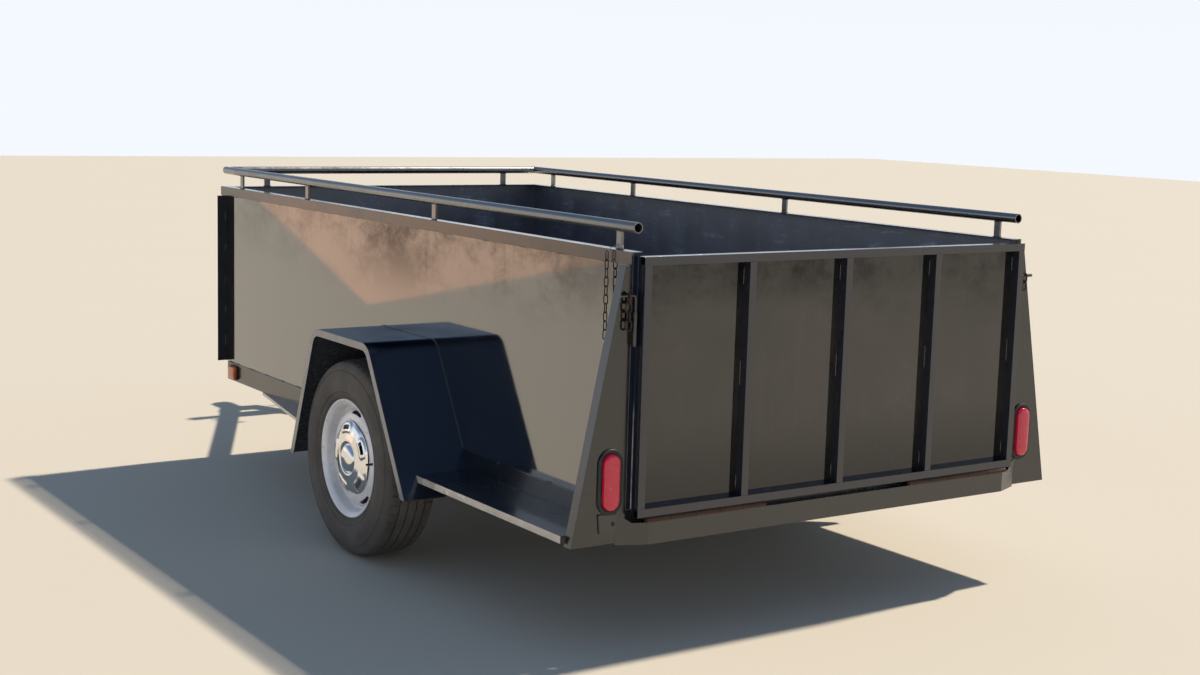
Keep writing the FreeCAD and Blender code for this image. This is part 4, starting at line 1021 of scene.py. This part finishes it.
def wireLoops():
    # three rough turns round the rear left post, then down through the chain's top link
    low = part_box("tie_posts")[0]
    x, y = low.x + postSet["half"][0], finY + postSet["side"][0]
    chainX = chainSet["long"]["place"][0]
    coil = chainSet["coil"]
    wide, deep = coil["halves"]
    line = []
    for i in range(coil["points"]):
        a = 2 * math.pi * i / coil["perTurn"]
        line.append((x + wide * math.cos(a), y + deep * math.sin(a),
                     low.z + coil["foot"] + coil["rise"] * i / coil["perTurn"]))
    line += [(x + a, y + b, low.z + c) for a, b, c in chainSet["wireAway"]]
    return line + [(chainX + a, finY + b, low.z + c) for a, b, c in chainSet["wireDown"]]


makeChains()
print("stage: chains")


# Welds: a bar along each joint whose girth ripples

weldSet = {
    "step": 0.003,
    "ripple": (0.82, 0.86, 1.12),  # every other step's share, then how far a step's girth strays
    "end": 0.45,
    "fillet": 0.0034,
    "small": 0.0022,
    "fine": 0.0013,
    "stitch": 0.036,
    "fender": ((0.9555, 0.4375), (1.154, 0.777), (1.59, 0.777), (1.7187, 0.4375)),
    "fenderCorner": 0.07,
    "board": (0.008, 0.905),  # where the board's seam starts and ends, from the fin forwards
    "boardOut": 0.968,
    "finFront": 0.0045,
    "finHead": 0.0217,  # the fin's head stands this far out of the side plate
    "rows": ((0.24, 3.06), (0.16, 3.0)),  # gap and end of the stitches under the top rail and on the frame
    "rowStart": 0.02,
    "railLeg": 0.038,
    "corner": (0.13, 3.0525),
    "tongueIn": 0.5,
    "cornerEnds": (0.02, 0.06),  # above the frame and below the side's top
    "proud": 0.001,
    "short": 0.002,
}


def bead(heap, line, girth, chance):
    line = [Vector(p) for p in line]
    dense = []
    for a, b in zip(line, line[1:]):
        count = max(1, round((b - a).length / weldSet["step"]))
        dense += [a.lerp(b, i / count) for i in range(count)]
    dense.append(line[-1])
    dip, least, most = weldSet["ripple"]
    sizes = [(1.0 if i % 2 else dip) * chance.uniform(least, most) for i in range(len(dense))]
    sizes[0] = sizes[-1] = weldSet["end"]
    last = len(dense) - 1
    tubeAlong(heap, dense, girth, 6, swell=lambda t: sizes[round(t * last)])


def roundedLine(points, radius, steps=6):
    # straight runs through the points with an arc at each inner one
    line = [Vector(points[0])]
    for i in range(1, len(points) - 1):
        corner = Vector(points[i])
        back = (Vector(points[i - 1]) - corner).normalized()
        ahead = (Vector(points[i + 1]) - corner).normalized()
        half = back.angle(ahead) / 2
        middle = corner + (back + ahead).normalized() * (radius / math.sin(half))
        first = corner + back * (radius / math.tan(half)) - middle
        last = corner + ahead * (radius / math.tan(half)) - middle
        first, last = first.normalized(), last.normalized()
        line += [middle + first.slerp(last, s / steps) * radius for s in range(steps + 1)]
    return line + [Vector(points[-1])]


def stitches(heap, start, end, gap, girth, chance):
    # short beads between start and end
    start, end = Vector(start), Vector(end)
    run = (end - start).length
    count = max(1, round(run / gap))
    for i in range(count):
        middle = start.lerp(end, (i + 0.5) / count)
        reach = (end - start).normalized() * weldSet["stitch"] / 2 * chance.uniform(0.7, 1.3)
        bead(heap, (middle - reach, middle + reach), girth, chance)


def bodySeams():
    # (girth, gap between stitches or 0 for a whole bead, the points it runs through) on the right side
    fillet, small = weldSet["fillet"], weldSet["small"]
    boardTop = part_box("running_board_right")[1].z
    finLow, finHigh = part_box("rear_fin_right")
    tongueLow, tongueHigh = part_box("tongue_tube_right")
    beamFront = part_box("front_beam")[1].y
    finFront, start = finY + weldSet["finFront"], finY + weldSet["rowStart"]
    boardStart, boardEnd = weldSet["board"]
    (railGap, railEnd), (frameGap, frameEnd) = weldSet["rows"]
    cornerGap, cornerY = weldSet["corner"]
    cornerFoot, cornerHead = weldSet["cornerEnds"]
    proud, short = weldSet["proud"], weldSet["short"]
    under = sideTop - weldSet["railLeg"]
    arch = roundedLine([(wallOut, finY + y, z) for y, z in weldSet["fender"]], weldSet["fenderCorner"])
    return (
        (fillet, 0, arch),
        (fillet, 0, ((railFace, finY + boardStart, boardTop), (railFace, finY + boardEnd, boardTop))),
        (small, 0, ((railFace + 0.004, finFront, boardTop), (weldSet["boardOut"], finFront, boardTop))),
        (fillet, 0, ((wallOut, finFront, railTop + 0.004), (wallOut, finFront, finHigh.z - 0.003))),
        (weldSet["fine"], 0, ((finHigh.x - 0.0015, finY + 0.0005, finLow.z + short),
                              (wallOut + weldSet["finHead"] - 0.0015, finY + 0.0005, finHigh.z - short))),
        (small, railGap, ((wallOut, start, under), (wallOut, finY + railEnd, under))),
        (fillet, frameGap, ((wallOut, start, railTop), (wallOut, finY + frameEnd, railTop))),
        (small, cornerGap, ((wallOut + 0.003, finY + cornerY, railTop + cornerFoot),
                            (wallOut + 0.003, finY + cornerY, sideTop - cornerHead))),
        (fillet, 0, ((tongueLow.x + weldSet["tongueIn"], beamFront + proud, tongueHigh.z),
                     (tongueHigh.x - short, beamFront + proud, tongueHigh.z))),
    )


def bodyWelds():
    chance = random.Random(5)
    heap = Heap()
    thin, long = postSet["half"]
    frontX, frontY = postSet["front"]
    for side in (-1, 1):
        for girth, gap, points in bodySeams():
            points = [(side * x, y, z) for x, y, z in points]
            if gap:
                stitches(heap, *points, gap, girth, chance)
            else:
                bead(heap, points, girth, chance)
        for y in postSet["side"]:
            postWelds(heap, side * postSet["x"], finY + y, thin, long, chance)
        postWelds(heap, side * frontX, finY + frontY, long, thin, chance)
    heap.piece("bodyWelds", "weld", "trailer", "black_paint", 60.0)


def postWelds(heap, x, y, halfX, halfY, chance):
    for z, girth in postSet["welds"]:
        ring = [(x + a * halfX, y + b * halfY, z) for a, b in ((1, 1), (-1, 1), (-1, -1), (1, -1), (1, 1))]
        bead(heap, ring, girth, chance)


gateWeldSet = {
    "ribs": 5,
    "rib": 0.025,
    "streak": (0.776, 0.85, 0.0028),  # its foot, its head and its girth
    "head": (0.07, 0.02, 0.0026),  # down from the ribs' head to its foot and head, and its girth
    "foot": (0.02, 0.06, 0.0026),
    "across": 0.0024,
    "face": 0.0015,
    "faceIn": 0.0006,
    "acrossIn": 0.001,
    "gap": 0.16,
}


def gateWelds():
    chance = random.Random(8)
    heap = Heap()
    low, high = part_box("gate_ribs")
    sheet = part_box("gate_panel")[0].y
    count, half = gateWeldSet["ribs"], gateWeldSet["rib"] / 2
    first, last = low.x + half, high.x - half
    middles = [first + (last - first) * i / (count - 1) for i in range(count)]
    headLow, headHigh, headGirth = gateWeldSet["head"]
    footLow, footHigh, footGirth = gateWeldSet["foot"]
    uprights = (gateWeldSet["streak"], (high.z - headLow, high.z - headHigh, headGirth),
                (low.z + footLow, low.z + footHigh, footGirth))
    for x in middles:
        for edge in (x - half, x + half):
            if not low.x < edge < high.x:
                continue
            for a, b, girth in uprights:
                bead(heap, ((edge, sheet, a), (edge, sheet, b)), girth, chance)
            for z in (low.z, high.z):
                start = low.y + gateWeldSet["acrossIn"]
                bead(heap, ((edge, start, z), (edge, sheet, z)), gateWeldSet["across"], chance)
        for z in (low.z, high.z):
            face = low.y + gateWeldSet["faceIn"]
            bead(heap, ((x - half, face, z), (x + half, face, z)), gateWeldSet["face"], chance)
    for a, b in zip(middles, middles[1:]):
        for z in (low.z, high.z):
            stitches(heap, (a + half, sheet, z), (b - half, sheet, z), gateWeldSet["gap"],
                     gateWeldSet["across"], chance)
    heap.piece("gateWelds", "weld", "tailgate", "black_paint", 60.0)


bodyWelds()
gateWelds()
print("stage: welds")


# Bolts and nuts

boltSet = {
    "jack": {"z": 0.439, "x": 0.045, "y": 0.04},
    "coupler": {"z": 0.436, "size": 0.0075, "places": ((0.06, -0.08), (0.052, -0.04), (0.046, -0.004))},
    "uBolt": {"x": (0.74275, 0.80125), "y": 0.032, "z": 0.183, "size": (0.01, 0.0095)},
    "washerWide": 1.35,
    "chamfer": (0.85, 0.96),  # shares of its height and width where its top edge is cut
}


def hexBolt(heap, place, facing, size=0.0085, tall=0.006, washer=0.0016):
    turn = Vector(facing).to_track_quat("Z", "Y").to_matrix().to_4x4()
    place = Matrix.Translation(place) @ turn
    flat, wide = size * math.cos(math.pi / 6), size * boltSet["washerWide"]
    shoulder, top = boltSet["chamfer"]

    def ring(radius, z, hexed):
        radii = [radius, radius * flat / size if hexed else radius] * 6
        return [(r * math.cos(a), r * math.sin(a), z) for a, r in zip(wholeTurn(12), radii)]
    heap.weave([ring(wide, -0.0005, False), ring(wide, washer, False), ring(size, washer, True),
                ring(size, washer + tall * shoulder, True), ring(flat * top, washer + tall, False)],
               closeColumns=True, place=place, caps=True)


def makeBolts():
    steel, rusty = Heap(), Heap()
    jack, coupler, uBolt = boltSet["jack"], boltSet["coupler"], boltSet["uBolt"]
    jackY = middleOf("jack_leg").y
    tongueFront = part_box("tongue_tube_right")[1].y
    for a in (-1, 1):
        for b in (-1, 1):
            hexBolt(steel, (a * jack["x"], jackY + b * jack["y"], jack["z"]), (0, 0, 1))
        for x, y in coupler["places"]:
            hexBolt(steel, (a * x, tongueFront + y, coupler["z"]), (0, 0, 1), coupler["size"])
        for x in uBolt["x"]:
            for b in (-1, 1):
                place = (a * x, wheelMiddle.y + b * uBolt["y"], uBolt["z"])
                hexBolt(rusty, place, (0, 0, -1), *uBolt["size"])
    steel.piece("frameBolts", "zinc", "trailer", "zinc")
    rusty.piece("springNuts", "spring", "trailer", "spring_steel")


makeBolts()
print("stage: bolts")


# Thin trim: bars beside the gate, the front corners' angles and a bare plate under the left light

trimSet = {
    "bar": {"inner": 0.7785, "outer": 0.795, "back": 0.0005, "front": 0.0055, "foot": 0.003, "head": 1.183,
            "cut": 0.0012},
    "angleSteel": 0.003,
    "angleBend": 0.003,
    "angleCut": 0.001,
    "plate": ((-0.8952, 0.43), (-0.8287, 0.4275), (-0.83, 0.3665), (-0.8898, 0.3726)),
    "plateBolt": (-0.8395, 0.3962),
    "plateBoltSize": (0.0048, 0.0024, 0.0008),
    "plateSteel": 0.0016,
    "fold": 0.0034,  # painted shade: dark strips this wide stand out along its top and left edges, standing for the shadow lines there
}


def prism(heap, outline, low, high):
    # an upright bar of any outline
    heap.weave([[(x, y, z) for x, y in outline] for z in (low, high)], closeColumns=True, caps=True)


def edgeBars():
    bar = trimSet["bar"]
    heap = Heap()
    for side in (-1, 1):
        inner, outer, cut = side * bar["inner"], side * bar["outer"], bar["cut"]
        back, front = finY + bar["back"], finY + bar["front"]
        outline = [(inner + side * cut, back), (outer, back), (outer, front), (inner + side * cut, front),
                   (inner, front - cut), (inner, back + cut)]
        prism(heap, outline, railTop + bar["foot"], bar["head"])
    heap.piece("rearEdgeBars", "corner", "trailer", "black_paint")


def cornerAngles():
    low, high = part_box("corner_angles")
    steel, bend, cut = trimSet["angleSteel"], trimSet["angleBend"], trimSet["angleCut"]
    start, end = high.y - (high.x - wallOut), high.y
    heap = Heap()
    for side in (-1, 1):
        turn = [(wallOut + steel + bend * (1 - math.sin(a)), start + steel + bend * (1 - math.cos(a)))
                for a in (math.pi / 2 * i / 4 for i in range(5))]
        outline = [(wallOut, start), (high.x - cut, start), (high.x, start + cut),
                   (high.x, start + steel - cut), (high.x - cut, start + steel)]
        outline += turn + [(wallOut + steel, end), (wallOut, end)]
        prism(heap, [(side * x, y) for x, y in outline], low.z, high.z)
    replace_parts(heap.piece("frontCornerAngles", "corner", "trailer", "black_paint"), "corner_angles")


def barePlate():
    # on the left fin only, with dark strips standing out along its top and outer edges: painted shade for the
    # shadow lines there
    corners = [Vector((x, finY, z)) for x, z in trimSet["plate"]]
    out = Vector((0, -trimSet["plateSteel"], 0))
    heap = Heap()
    heap.weave([[c + out * rise for c in corners] for rise in (-0.4, 1.0)], closeColumns=True, caps=True)
    folds = Heap()
    for a, b, beside in ((corners[0], corners[1], corners[3]), (corners[0], corners[3], corners[1])):
        inward = (beside - a).normalized() * trimSet["fold"]
        strip = [a, b, b + inward, a + inward]
        folds.weave([[c + out * rise for c in strip] for rise in (0.5, 1.9)], closeColumns=True, caps=True)
    x, z = trimSet["plateBolt"]
    hexBolt(folds, (x, finY - trimSet["plateSteel"], z), (0, -1, 0), *trimSet["plateBoltSize"])
    heap.piece("barePlate", "frame", "trailer", "black_paint")
    folds.piece("barePlateShadeStripsAndBolt", "rubber", "trailer", "rubber")


edgeBars()
cornerAngles()
barePlate()
print("stage: trim")


def makeFloor():
    half = floorSize / 2
    corners = [(-half, -half, 0), (half, -half, 0), (half, half, 0), (-half, half, 0)]
    heap = Heap()
    heap.add(corners, [(0, 1, 2, 3)])
    heap.piece("studioFloor", "ground", None, None)


makeFloor()
